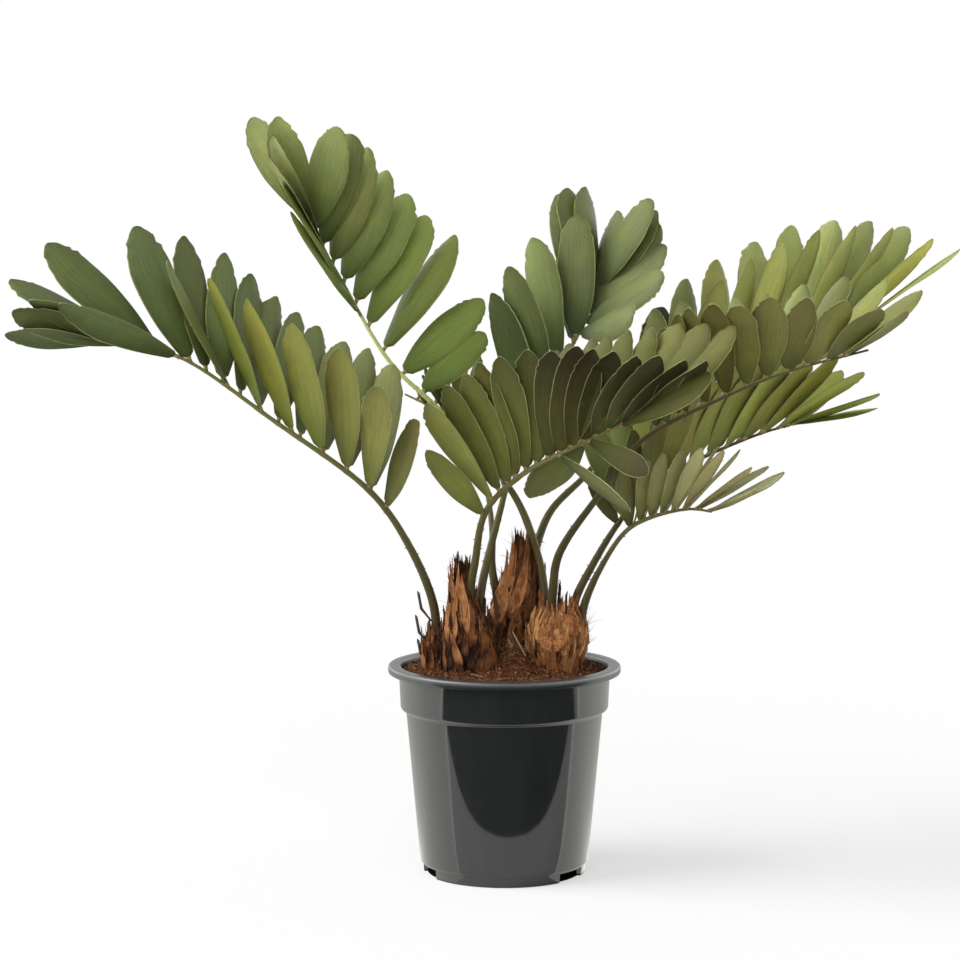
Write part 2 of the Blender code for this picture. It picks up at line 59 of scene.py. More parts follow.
FRONDS = {
    "frond_left_long": Frond(0, [
        (-0.062, 0.000, 0.206), (-0.065, 0.000, 0.247), (-0.088, -0.008, 0.304),
        (-0.121, -0.018, 0.352), (-0.207, -0.034, 0.418), (-0.287, -0.050, 0.475),
        (-0.330, -0.055, 0.488), (-0.367, -0.060, 0.490),
    ], [
        Row("left", 7, (0.315, 0.485, 0.71), (62, 46, 30), (37, 62, 84), (36, 22, 95),
            (0.120, 0.135, 0.127), 0.033),
        Row("left", 4, (0.825, 0.91, 0.985), (18, 22, 12), (12, 43, 44), (-50, -4, 15),
            (0.125, 0.115, 0.085), 0.033),
        Row("right", 10, (0.36, 0.615, 0.8), (64, 75, 41), (72, 59, 77), (12, 20, 12),
            (0.126, 0.121, 0.134), 0.036),
        Row("right", 2, (0.87, 0.94), (28, 40), (80, 40), (15, 10), (0.138, 0.133), 0.034),
    ]),
    "frond_left_high": Frond(-45, [
        (0.037, 0.000, 0.225), (0.036, 0.012, 0.262), (0.028, 0.020, 0.299), (0.008, 0.044, 0.345),
        (-0.060, 0.070, 0.420), (-0.107, 0.090, 0.464), (-0.157, 0.110, 0.547), (-0.191, 0.120, 0.603),
    ], [
        Row("right", 7, (0.675, 0.835, 0.955), (61, 50, 58), (13, 31, 79), (-36, -11, 12),
            (0.135, 0.116, 0.117), 0.037),
        Row("right", 1, 1.0, 13, 59, -2, 0.092, 0.035),
        Row("right", 1, 0.613, 88, 13, 0, 0.111, 0.038),
        Row("right", 1, 0.558, 89, 14, 0, 0.087, 0.034),
        Row("left", 5, (0.76, 0.87, 0.96), (22, 33, 40), (62, 74, 84), (11, 5, -37),
            (0.118, 0.125, 0.124), 0.034),
        Row("left", 1, 1.0, 12, 92, -35, 0.102, 0.033),
    ]),
    "frond_centre": Frond(0, [
        (-0.034, -0.028, 0.226), (-0.033, -0.027, 0.252), (-0.027, -0.034, 0.290),
        (-0.017, -0.055, 0.339), (0.016, -0.080, 0.375), (0.057, -0.110, 0.400), (0.096, -0.140, 0.422),
        (0.141, -0.170, 0.447),
    ], [
        Row("right", 14, (0.385, 0.61, 0.885), (62, 46, 20), (47, 52, 26), (-26, 4, 15),
            (0.118, 0.130, 0.110), 0.029),
        Row("left", 12, (0.43, 0.68, 0.98), (66, 56, 24), (65, 85, 75), 0, (0.106, 0.100, 0.090)),
        Row("right", 1, 0.83, 14, 6, 75, 0.120, 0.024),
        Row("right", 1, 0.729, 43, -57, 180, 0.112, 0.020),
        Row("right", 1, 0.628, 52, -63, 50, 0.112, 0.018),
        Row("left", 1, 0.714, 160, -36, 180, 0.108, 0.030),
        Row("right", 1, 0.332, 49, 14, 0, 0.110, 0.022),
    ]),
    "frond_top": Frond(0, [
        (-0.024, -0.008, 0.230), (-0.021, 0.002, 0.262), (-0.006, 0.025, 0.322), (0.015, 0.055, 0.393),
        (0.041, 0.075, 0.448), (0.068, 0.090, 0.486), (0.085, 0.108, 0.530),
    ], [
        Row("left", 4, (0.6, 0.73, 0.835), (45, 54, 33), (71, 80, 42), (53, 52, 19),
            (0.121, 0.119, 0.128), 0.035),
        Row("left", 3, (0.955, 0.985, 1.0), (33, 29, 20), 48, (-6, -21, -33), (0.114, 0.109, 0.105),
            0.035),
        Row("right", 6, (0.87, 0.94, 1.0), (86, 38, 41), (21, 8, 35), (5, 16, 32),
            (0.101, 0.102, 0.106), 0.035),
        Row("left", 1, 1.0, 6, 12, 30, 0.088, 0.032),
        Row("left", 1, 0.85, 32, 82, 50, 0.118, 0.036),
    ]),
    "frond_right_back": Frond(0, [
        (0.018, 0.020, 0.230), (0.022, 0.026, 0.262), (0.041, 0.060, 0.322), (0.074, 0.090, 0.354),
        (0.111, 0.120, 0.388), (0.170, 0.150, 0.424), (0.239, 0.180, 0.459), (0.309, 0.200, 0.487),
        (0.357, 0.210, 0.502),
    ], [
        Row("left", 8, (0.495, 0.785, 0.95), (43, 57, 36), (64, 68, 88), (-23, -21, -23),
            (0.124, 0.127, 0.115), 0.036),
        Row("right", 8, (0.605, 0.815, 1.0), (58, 47, 25), (74, 85, 64), (-2, 33, 40),
            (0.116, 0.128, 0.112), 0.033),
    ]),
    "frond_right_front": Frond(0, [
        (0.042, -0.012, 0.220), (0.044, -0.014, 0.262), (0.049, -0.020, 0.295), (0.084, -0.045, 0.352),
        (0.120, -0.065, 0.402), (0.190, -0.100, 0.444), (0.241, -0.120, 0.467), (0.311, -0.145, 0.488),
    ], [
        Row("right", 10, (0.55, 0.765, 0.955), (51, 63, 36), (51, 39, 33), (-44, -21, 30),
            (0.110, 0.118, 0.084), 0.030),
        Row("left", 9, (0.525, 0.74, 0.94), (66, 77, 32), (87, 45, 64), (14, 7, 30),
            (0.110, 0.115, 0.092), 0.030),
    ]),
    "frond_right_low": Frond(0, [
        (0.060, -0.004, 0.218), (0.065, 0.000, 0.251), (0.078, 0.004, 0.278), (0.110, 0.012, 0.328),
        (0.138, 0.020, 0.354), (0.178, 0.030, 0.377), (0.235, 0.040, 0.400), (0.267, 0.045, 0.409),
    ], [
        Row("right", 9, (0.42, 0.66, 0.9), (64, 58, 50), (50, 50, 45), (0, 0, 10), (0.105, 0.115, 0.112)),
        Row("right", 3, (0.95, 0.98, 1.0), (46, 34, 22), (35, 20, 0), 0, (0.108, 0.096, 0.080), 0.024),
        Row("left", 9, (0.42, 0.68, 0.97), (64, 56, 34), (60, 60, 40), 0, (0.100, 0.115, 0.095)),
        Row("right", 1, 0.402, 78, 50, 0, 0.084, 0.022),
        Row("right", 1, 0.372, 78, 60, 0, 0.082, 0.018),
        Row("right", 1, 0.598, 89, 1, 0, 0.090, 0.020),
    ]),
    "frond_right_small": Frond(0, [
        (0.067, -0.014, 0.218), (0.073, -0.014, 0.250), (0.087, -0.018, 0.283), (0.109, -0.032, 0.318),
        (0.128, -0.044, 0.331), (0.163, -0.066, 0.342), (0.183, -0.076, 0.341),
    ], [
        Row("right", 8, (0.58, 0.78, 0.98), (56, 50, 36), (70, 80, 60), (50, 60, 70),
            (0.058, 0.070, 0.078), 0.017),
        Row("left", 8, (0.6, 0.8, 0.99), (56, 50, 36), (70, 80, 90), (50, 60, 60),
            (0.060, 0.070, 0.078), 0.017),
    ]),
    "frond_back": Frond(0, [
        (-0.001, 0.026, 0.226), (-0.011, 0.030, 0.276), (-0.011, 0.050, 0.310), (-0.019, 0.092, 0.353),
        (-0.041, 0.126, 0.393), (-0.070, 0.160, 0.416), (-0.095, 0.184, 0.427),
    ], [
        Row("right", 4, (0.64, 0.82, 0.945), (34, 60, 84), (71, 60, 50), (-19, -30, -30),
            (0.095, 0.074, 0.058), 0.026),
        Row("left", 4, (0.625, 0.67, 0.71), (31, 24, 26), (31, 56, 90), (2, 28, 59),
            (0.083, 0.080, 0.080), 0.024),
        Row("left", 1, 0.593, 32, 83, 0, 0.125, 0.024),
        Row("left", 1, 0.533, 20, 93, 60, 0.100, 0.020),
    ]),
}

# Colours are linear RGB. Each frond has its own tones. "upper" and "under" are the two faces of
# a leaflet: its foot's colours, then its tip's, each at the frond's base, middle and tip. "stalk"
# runs from the crown to the frond's tip. "yellow" is how far its yellowest leaflet has turned.
# Besides the leaves' own colour the tones hold painted light and shade: fronds are made lighter
# or darker to stand for how they are lit.
Look = namedtuple("Look", "upper under stalk yellow", defaults=(0.2,))
BROWN_FOOT = (0.062, 0.042, 0.015)
OLIVE_STEM = (0.085, 0.078, 0.022)

LOOKS = {
    "frond_left_long": Look(
        [((0.165, 0.210, 0.057), (0.133, 0.166, 0.048), (0.060, 0.093, 0.022)),
         ((0.315, 0.367, 0.151), (0.166, 0.205, 0.077), (0.095, 0.129, 0.044))],
        [((0.124, 0.132, 0.030), (0.183, 0.231, 0.038), (0.054, 0.083, 0.022)),
         ((0.109, 0.102, 0.030), (0.280, 0.290, 0.059), (0.083, 0.113, 0.040))],
        [BROWN_FOOT, OLIVE_STEM, (0.150, 0.155, 0.036)], 0.05),
    "frond_left_high": Look(
        [((0.124, 0.175, 0.034), (0.131, 0.191, 0.035), (0.131, 0.172, 0.046)),
         ((0.160, 0.215, 0.044), (0.207, 0.273, 0.070), (0.230, 0.271, 0.095))],
        [((0.158, 0.190, 0.042), (0.196, 0.244, 0.056), (0.186, 0.224, 0.062)),
         ((0.180, 0.220, 0.052), (0.269, 0.318, 0.087), (0.279, 0.317, 0.113))],
        # The high frond's pale yellow-green rachis tip is partly its own colour and partly a painted
        # highlight.
        [BROWN_FOOT, OLIVE_STEM, (0.420, 0.460, 0.150)], 0.0),
    # The centre frond's undersides darken from its base towards its tip, partly leaf colour and partly
    # painted shade.
    "frond_centre": Look(
        [((0.097, 0.129, 0.032), (0.085, 0.101, 0.027), (0.087, 0.107, 0.025)),
         ((0.078, 0.103, 0.026), (0.092, 0.105, 0.035), (0.142, 0.152, 0.042))],
        [((0.239, 0.272, 0.058), (0.079, 0.092, 0.019), (0.065, 0.069, 0.019)),
         ((0.171, 0.195, 0.046), (0.030, 0.027, 0.010), (0.046, 0.044, 0.017))],
        [BROWN_FOOT, OLIVE_STEM, (0.150, 0.140, 0.045)], 0.0),
    "frond_top": Look(
        [((0.046, 0.065, 0.017), (0.112, 0.151, 0.045), (0.075, 0.098, 0.031)),
         ((0.058, 0.079, 0.023), (0.188, 0.231, 0.082), (0.142, 0.163, 0.061))],
        [((0.045, 0.063, 0.016), (0.118, 0.154, 0.047), (0.139, 0.169, 0.056)),
         ((0.057, 0.077, 0.023), (0.178, 0.208, 0.075), (0.211, 0.239, 0.089))],
        [BROWN_FOOT, OLIVE_STEM, (0.160, 0.150, 0.052)], 0.1),
    "frond_right_back": Look(
        [((0.027, 0.038, 0.009), (0.210, 0.260, 0.068), (0.294, 0.347, 0.110)),
         ((0.034, 0.044, 0.013), (0.293, 0.344, 0.122), (0.383, 0.443, 0.175))],
        [((0.034, 0.044, 0.009), (0.282, 0.321, 0.071), (0.376, 0.423, 0.110)),
         ((0.041, 0.050, 0.013), (0.389, 0.424, 0.125), (0.478, 0.520, 0.176))],
        [BROWN_FOOT, OLIVE_STEM, (0.130, 0.110, 0.040)], 0.5),
    "frond_right_front": Look(
        [((0.102, 0.125, 0.024), (0.115, 0.138, 0.030), (0.131, 0.153, 0.040)),
         ((0.102, 0.115, 0.031), (0.140, 0.164, 0.049), (0.167, 0.192, 0.062))],
        [((0.124, 0.151, 0.025), (0.125, 0.145, 0.028), (0.134, 0.153, 0.035)),
         ((0.124, 0.130, 0.033), (0.150, 0.154, 0.041), (0.162, 0.171, 0.053))],
        [BROWN_FOOT, (0.058, 0.054, 0.017), (0.088, 0.076, 0.024)], 0.3),
    "frond_right_low": Look(
        [((0.069, 0.096, 0.020), (0.168, 0.217, 0.039), (0.184, 0.228, 0.046)),
         ((0.084, 0.111, 0.025), (0.196, 0.230, 0.053), (0.219, 0.253, 0.060))],
        [((0.084, 0.102, 0.020), (0.196, 0.230, 0.039), (0.233, 0.273, 0.046)),
         ((0.084, 0.091, 0.025), (0.209, 0.221, 0.048), (0.257, 0.287, 0.063))],
        [BROWN_FOOT, (0.052, 0.048, 0.015), (0.064, 0.054, 0.017)]),
    "frond_right_small": Look(
        [((0.156, 0.163, 0.051), (0.312, 0.323, 0.121), (0.465, 0.478, 0.230)),
         ((0.176, 0.182, 0.068), (0.375, 0.385, 0.175), (0.547, 0.561, 0.315))],
        [((0.163, 0.166, 0.051), (0.323, 0.328, 0.121), (0.478, 0.485, 0.230)),
         ((0.182, 0.186, 0.068), (0.385, 0.391, 0.175), (0.574, 0.574, 0.315))],
        [BROWN_FOOT, (0.060, 0.050, 0.018), (0.130, 0.110, 0.042)], 0.0),
    "frond_back": Look(
        [((0.120, 0.150, 0.034), (0.050, 0.065, 0.018), (0.050, 0.065, 0.018)),
         ((0.130, 0.200, 0.032), (0.040, 0.052, 0.016), (0.060, 0.075, 0.024))],
        [((0.120, 0.160, 0.030), (0.050, 0.060, 0.018), (0.060, 0.070, 0.020)),
         ((0.130, 0.150, 0.040), (0.040, 0.050, 0.016), (0.070, 0.080, 0.026))],
        [BROWN_FOOT, OLIVE_STEM, (0.110, 0.100, 0.040)]),
}


def smoothstep(low, high, value):
    share = min(max((value - low) / (high - low), 0.0), 1.0)
    return share * share * (3 - 2 * share)


def blend(first, second, share):
    return first + (second - first) * share


def wobble(spot, size, seed=0.0):
    """Smooth noise around 0 with features of this size in metres."""
    return noise.noise(Vector(spot) / size + Vector((seed, 1.7 * seed, -seed)))


def turns(count):
    """Evenly spaced angles once round."""
    return [2 * math.pi * index / count for index in range(count)]


def outward(turn):
    """The level direction at this angle from +X."""
    return Vector((math.cos(turn), math.sin(turn), 0.0))


def any_turn():
    return dice.uniform(0, 2 * math.pi)


def add_object(name, data):
    made = bpy.data.objects.new(name, data)
    bpy.context.scene.collection.objects.link(made)
    return made


class Sketch:
    """Gathers the points and faces of one piece, with a finish for each face."""

    def __init__(self):
        self.points = []
        self.places = []
        self.faces = []
        self.finishes = []

    def point(self, position, place=(0.0, 0.0, 0.0)):
        """Adds a point. place says where on its part it lies: across, along, and a number
        that the whole part shares."""
        self.points.append(tuple(position))
        self.places.append(tuple(place))
        return len(self.points) - 1

    def face(self, corners, finish=0):
        self.faces.append(tuple(corners))
        self.finishes.append(finish)

    def circle(self, radius, height, sides):
        """A level ring of points around the pot's axis."""
        lift = Vector((0.0, 0.0, height))
        return [self.point(outward(turn) * radius + lift) for turn in turns(sides)]

    def bridge(self, lower, upper, finish=0):
        """A band of faces between two closed rings of as many points."""
        for index, corner in enumerate(lower):
            after = (index + 1) % len(lower)
            self.face((corner, lower[after], upper[after], upper[index]), finish)

    def fan(self, ring, hub, finish=0):
        for index, corner in enumerate(ring):
            self.face((corner, ring[(index + 1) % len(ring)], hub), finish)

    def tube(self, rings, finish=0):
        """A skin over a row of rings, closed at both ends."""
        for lower, upper in zip(rings, rings[1:]):
            self.bridge(lower, upper, finish)
        self.face(rings[0], finish)
        self.face(rings[-1], finish)

    def strand(self, points, radii, sides, finish=0, shared=0.0):
        """A thin round strand through the points, closed at both ends."""
        rings = []
        ahead = (Vector(points[1]) - Vector(points[0])).normalized()
        across = ahead.orthogonal().normalized()
        for index, (point, radius) in enumerate(zip(points, radii)):
            before = Vector(points[max(index - 1, 0)])
            after = Vector(points[min(index + 1, len(points) - 1)])
            ahead = (after - before).normalized()
            across = (across - across.dot(ahead) * ahead).normalized()
            other = ahead.cross(across)
            share = index / (len(points) - 1)
            ring = []
            for side, turn in enumerate(turns(sides)):
                offset = radius * (math.cos(turn) * across + math.sin(turn) * other)
                ring.append(self.point(Vector(point) + offset, (side / sides, share, shared)))
            rings.append(ring)
        self.tube(rings, finish)

    def piece(self, name, node, materials, sharp=50):
        """Makes the object that takes a CAD node's place, smooth but for its sharp edges."""
        mesh = bpy.data.meshes.new(name)
        mesh.from_pydata(self.points, [], self.faces)
        for material in materials:
            mesh.materials.append(material)
        mesh.polygons.foreach_set("material_index", self.finishes)
        shape = bmesh.new()
        shape.from_mesh(mesh)
        bmesh.ops.recalc_face_normals(shape, faces=shape.faces)
        shape.to_mesh(mesh)
        shape.free()
        place = mesh.attributes.new("place", "FLOAT_VECTOR", "POINT")
        place.data.foreach_set("vector", [value for entry in self.places for value in entry])
        mesh.shade_smooth()
        mesh.set_sharp_from_angle(angle=math.radians(sharp))
        made = add_object(name, mesh)
        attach(made, "root")
        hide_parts(node)
        return made


class Value:
    """A number or colour in a node tree. Sums of values are written as sums."""

    def __init__(self, nodes, socket):
        self.nodes = nodes
        self.socket = socket

    def math(self, operation, other=0.0):
        made = self.nodes.node("ShaderNodeMath", {"operation": operation})
        self.nodes.feed(made.inputs[0], self)
        self.nodes.feed(made.inputs[1], other)
        return Value(self.nodes, made.outputs["Value"])

    def __add__(self, other):
        return self.math("ADD", other)

    def __sub__(self, other):
        return self.math("SUBTRACT", other)

    def __mul__(self, other):
        return self.math("MULTIPLY", other)

    def spread(self, low, high, to_low, to_high):
        """The range low..high mapped to to_low..to_high and held there."""
        ends = {"From_Min": low, "From_Max": high, "To_Min": to_low, "To_Max": to_high}
        return self.nodes.value("ShaderNodeMapRange", "Result", Value=self, **ends)

    def ramp(self, *stops):
        """A colour ramp through (position, colour) stops."""
        made = self.nodes.node("ShaderNodeValToRGB", Fac=self)
        band = made.color_ramp
        while len(band.elements) < len(stops):
            band.elements.new(0.5)
        for element, (position, colour) in zip(band.elements, stops):
            element.position = position
            element.color = (*colour, 1.0)
        return Value(self.nodes, made.outputs["Color"])

    def shade(self, factor):
        """This colour made darker or lighter by a factor."""
        grey = self.nodes.combine(factor, factor, factor)
        return self.nodes.mix(1.0, self, grey, "MULTIPLY")

    def mottle(self, pattern, low, high):
        """This colour shaded between two factors by a noise pattern."""
        return self.shade(pattern.spread(0.3, 0.7, low, high))

    def tint(self, share, colour):
        """This colour, a share of it multiplied by another."""
        return self.nodes.mix(1.0, self, self.nodes.mix(share, WHITE, colour), "MULTIPLY")


WHITE = (1.0, 1.0, 1.0)


class Nodes:
    """A node tree, built a node at a time."""

    def __init__(self, tree):
        self.tree = tree

    def node(self, kind, settings=(), **inputs):
        """A node with these settings. An input takes a number, a colour or a Value."""
        made = self.tree.nodes.new(kind)
        for name, value in dict(settings).items():
            setattr(made, name, value)
        for name, value in inputs.items():
            self.feed(made.inputs[name.replace("_", " ")], value)
        return made

    def value(self, kind, output, settings=(), **inputs):
        """One output of such a node."""
        return Value(self, self.node(kind, settings, **inputs).outputs[output])

    def feed(self, socket, value):
        if isinstance(value, Value):
            self.tree.links.new(value.socket, socket)
        elif hasattr(value, "__len__") and len(value) == 3 and len(socket.default_value) == 4:
            socket.default_value = (*value, 1.0)
        else:
            socket.default_value = value

    def axes(self, vector):
        """The three numbers of a vector."""
        split = self.node("ShaderNodeSeparateXYZ", Vector=vector)
        return [Value(self, output) for output in split.outputs]

    def place(self):
        """The across, along and shared numbers of the point."""
        return self.axes(self.value("ShaderNodeAttribute", "Vector", {"attribute_name": "place"}))

    def combine(self, *numbers):
        made = self.node("ShaderNodeCombineXYZ")
        for socket, value in zip(made.inputs, numbers):
            self.feed(socket, value)
        return Value(self, made.outputs["Vector"])

    def spot(self):
        """The point's own position on the object, in metres."""
        return self.value("ShaderNodeTexCoord", "Object")

    def noise(self, vector, scale, detail=3.0, roughness=0.55, distortion=0.0):
        look = {"Scale": scale, "Detail": detail, "Roughness": roughness, "Distortion": distortion}
        return self.value("ShaderNodeTexNoise", "Fac", Vector=vector, **look)

    def grain(self, scale, detail=3.0, roughness=0.55, distortion=0.0):
        """Noise that is fixed to the object, with this many features a metre."""
        return self.noise(self.spot(), scale, detail, roughness, distortion)

    def mix(self, share, first, second, blend_type="MIX"):
        made = self.node("ShaderNodeMix", {"data_type": "RGBA", "blend_type": blend_type})
        for socket, value in zip((0, 6, 7), (share, first, second)):
            self.feed(made.inputs[socket], value)
        return Value(self, made.outputs[2])


class Finish(Nodes):
    """One material, around its Principled BSDF."""

    def __init__(self, name, roughness, specular=0.5):
        self.material = bpy.data.materials.new(name)
        self.material.use_nodes = True
        super().__init__(self.material.node_tree)
        self.surface = self.tree.nodes["Principled BSDF"].inputs
        self.rough(roughness)
        self.surface["Specular IOR Level"].default_value = specular

    def colour(self, value):
        self.feed(self.surface["Base Color"], value)

    def rough(self, value):
        self.feed(self.surface["Roughness"], value)

    def glow(self, colour, strength):
        self.feed(self.surface["Emission Color"], colour)
        self.feed(self.surface["Emission Strength"], strength)

    def bump(self, height, depth):
        """Relief of this depth in metres."""
        made = self.value("ShaderNodeBump", "Normal", Height=height, Distance=depth, Strength=1.0)
        self.feed(self.surface["Normal"], made)


def two_tone(name, roughness, specular, scale, detail, colours, relief=None):
    """A plain grained material between a dark and a light colour."""
    finish = Finish(name, roughness, specular)
    grain = finish.grain(scale, detail)
    finish.colour(grain.ramp(*zip((0.3, 0.7), colours)))
    if relief:
        finish.bump(grain, relief)
    return finish.material


# The fronds, as in the CAD but finely made.
ROUTE_SAMPLES = 400
STEPS_PER_KNOT = 40
TANGENT_BACK = 5
TANGENT_AHEAD = 7
PETIOLE_RADIUS = 0.0046
RACHIS_MIDDLE_RADIUS = 0.0026
RACHIS_TIP_RADIUS = 0.0010
RACHIS_START = 0.4
LEAFLET_FOOT_SHARE = 0.16
LEAFLET_FILL = 0.95
TIP_POWER = 0.6
BLADE_THICKNESS = 0.0009
RIM_THICKNESS = 0.0007
RIM_START = 0.9
FOOT_THICKNESS = 0.0024
FOOT_HALF_WIDTH = 0.0017
FOOT_BULGE = 0.0006
FOOT_WAIST = 0.022
FOOT_END = 0.045
# How far a leaflet strays from its row: degrees, and shares of its length and width.
FORWARD_STRAY = 1.0
LIFT_STRAY = 1.5
TWIST_STRAY = 4.0
TIP_TURN_STRAY = 5
LENGTH_RANGE = (0.985, 1.01)
WIDTH_RANGE = (0.98, 1.12)
BOW = 0.06
BOW_STRAY = 0.012
CAMBER_RANGE = (0.06, 0.38)
WAVE_RANGE = (0.0002, 0.0006)
WIDEST_RANGE = (0.50, 0.66)
BLUNTNESS_RANGE = (1.75, 2.9)
SEED_RANGE = 50
# The margin's slow unevenness and its teeth: depth as a share of the width, size as one of length.
UNEVEN_DEPTH = 0.10
UNEVEN_SIZE = 0.30
TOOTH_DEPTH = 0.20
TOOTH_SIZE = 0.028
UPPER, UNDER, RIM, FOOT = range(4)
ACROSS = (-1.0, -0.95, -0.70, -0.47, -0.23, 0.0, 0.23, 0.47, 0.70, 0.95, 1.0)
# Once round the blade: over the upper face and back under it.
ROUND = [(place, 0.5) for place in ACROSS] + [(place, -0.5) for place in ACROSS[-2:0:-1]]
ALONG = (
    [0.0, 0.012, 0.026, FOOT_END, 0.07, 0.10, 0.14, 0.19, 0.25, 0.31, 0.37, 0.43, 0.49, 0.55]
    + [0.61, 0.66, 0.71, 0.75, 0.79, 0.825, 0.855, 0.88, 0.905, 0.925, 0.943, 0.958, 0.971]
    + [0.982, 0.991, 0.997]
)


def smooth_route(points):
    """Evenly spaced points along a centripetal Catmull-Rom curve through the given points."""
    knots = [Vector(point) for point in points]
    knots = [2 * knots[0] - knots[1], *knots, 2 * knots[-1] - knots[-2]]
    dense = []
    for before, start, end, after in zip(knots, knots[1:], knots[2:], knots[3:]):
        t0 = 0.0
        t1 = t0 + math.sqrt((start - before).length)
        t2 = t1 + math.sqrt((end - start).length)
        t3 = t2 + math.sqrt((after - end).length)
        for step in range(STEPS_PER_KNOT):
            t = t1 + (t2 - t1) * step / STEPS_PER_KNOT
            a1 = before.lerp(start, (t - t0) / (t1 - t0))
            a2 = start.lerp(end, (t - t1) / (t2 - t1))
            a3 = end.lerp(after, (t - t2) / (t3 - t2))
            b1 = a1.lerp(a2, (t - t0) / (t2 - t0))
            b2 = a2.lerp(a3, (t - t1) / (t3 - t1))
            dense.append(b1.lerp(b2, (t - t1) / (t2 - t1)))
    dense.append(knots[-2])
    lengths = [0.0]
    for first, second in zip(dense, dense[1:]):
        lengths.append(lengths[-1] + (second - first).length)
    even = []
    at = 0
    for index in range(ROUTE_SAMPLES):
        wanted = lengths[-1] * index / (ROUTE_SAMPLES - 1)
        while at < len(lengths) - 2 and lengths[at + 1] < wanted:
            at += 1
        share = (wanted - lengths[at]) / (lengths[at + 1] - lengths[at])
        even.append(dense[at].lerp(dense[at + 1], share))
    return even


def place_on(line, share, roll=0):
    """Point, tangent, left side and up at a share of the line, rolled about the tangent."""
    last = len(line) - 1
    spot = min(max(share, 0.0), 1.0) * last
    index = min(int(spot), last - 1)
    point = line[index].lerp(line[index + 1], spot - index)
    ahead = line[min(index + TANGENT_AHEAD, last)]
    tangent = (ahead - line[max(index - TANGENT_BACK, 0)]).normalized()
    side = Vector((0.0, 0.0, 1.0)).cross(tangent).normalized()
    up = tangent.cross(side)
    turn = math.radians(roll)
    rolled_side = math.cos(turn) * side + math.sin(turn) * up
    rolled_up = math.cos(turn) * up - math.sin(turn) * side
    return point, tangent, rolled_side, rolled_up


def rachis_radius(share):
    """Thick at the petiole's foot, slimmer where the leaflets start, thin at the tip."""
    if share < RACHIS_START:
        return blend(PETIOLE_RADIUS, RACHIS_MIDDLE_RADIUS, share / RACHIS_START)
    past = (share - RACHIS_START) / (1 - RACHIS_START)
    return blend(RACHIS_MIDDLE_RADIUS, RACHIS_TIP_RADIUS, past)


def value_at(values, share):
    """One value, or the value at a share of a row given at its ends or its ends and middle."""
    if not isinstance(values, tuple):
        return values
    if len(values) == 2:
        return blend(*values, share)
    first, middle, last = values
    start_weight = (1 - share) * (1 - 2 * share)
    middle_weight = 4 * share * (1 - share)
    end_weight = share * (2 * share - 1)
    return first * start_weight + middle * middle_weight + last * end_weight


def row_shares(row):
    """Where the row's leaflets are, as shares of the row."""
    return [index / (row.count - 1) if row.count > 1 else 0.5 for index in range(row.count)]


def width_share(share, widest, bluntness):
    """A leaflet's width as a share of its widest: a wedge at the foot, a rounded tip."""
    rise = math.sin(min(share / widest, 1.0) * math.pi / 2) ** LEAFLET_FILL
    width = blend(LEAFLET_FOOT_SHARE, 1.0, rise)
    if share > widest:
        past = (share - widest) / (1 - widest)
        width *= max(0.0, 1 - past**bluntness) ** TIP_POWER
    return width


def margins(half, station, seed):
    """The blade's two half widths at a station, uneven and, near the tip, toothed."""
    halves = []
    for margin in (-1, 1):
        slow = wobble((station, 0.3 * margin, 0.0), UNEVEN_SIZE, seed)
        fast = wobble((station, 0.3 * margin, 0.5), TOOTH_SIZE, seed)
        uneven = UNEVEN_DEPTH * slow * smoothstep(0.1, 0.4, station)
        tooth = TOOTH_DEPTH * fast * smoothstep(0.70, 0.85, station)
        halves.append(half * (1 + uneven + tooth))
    return halves


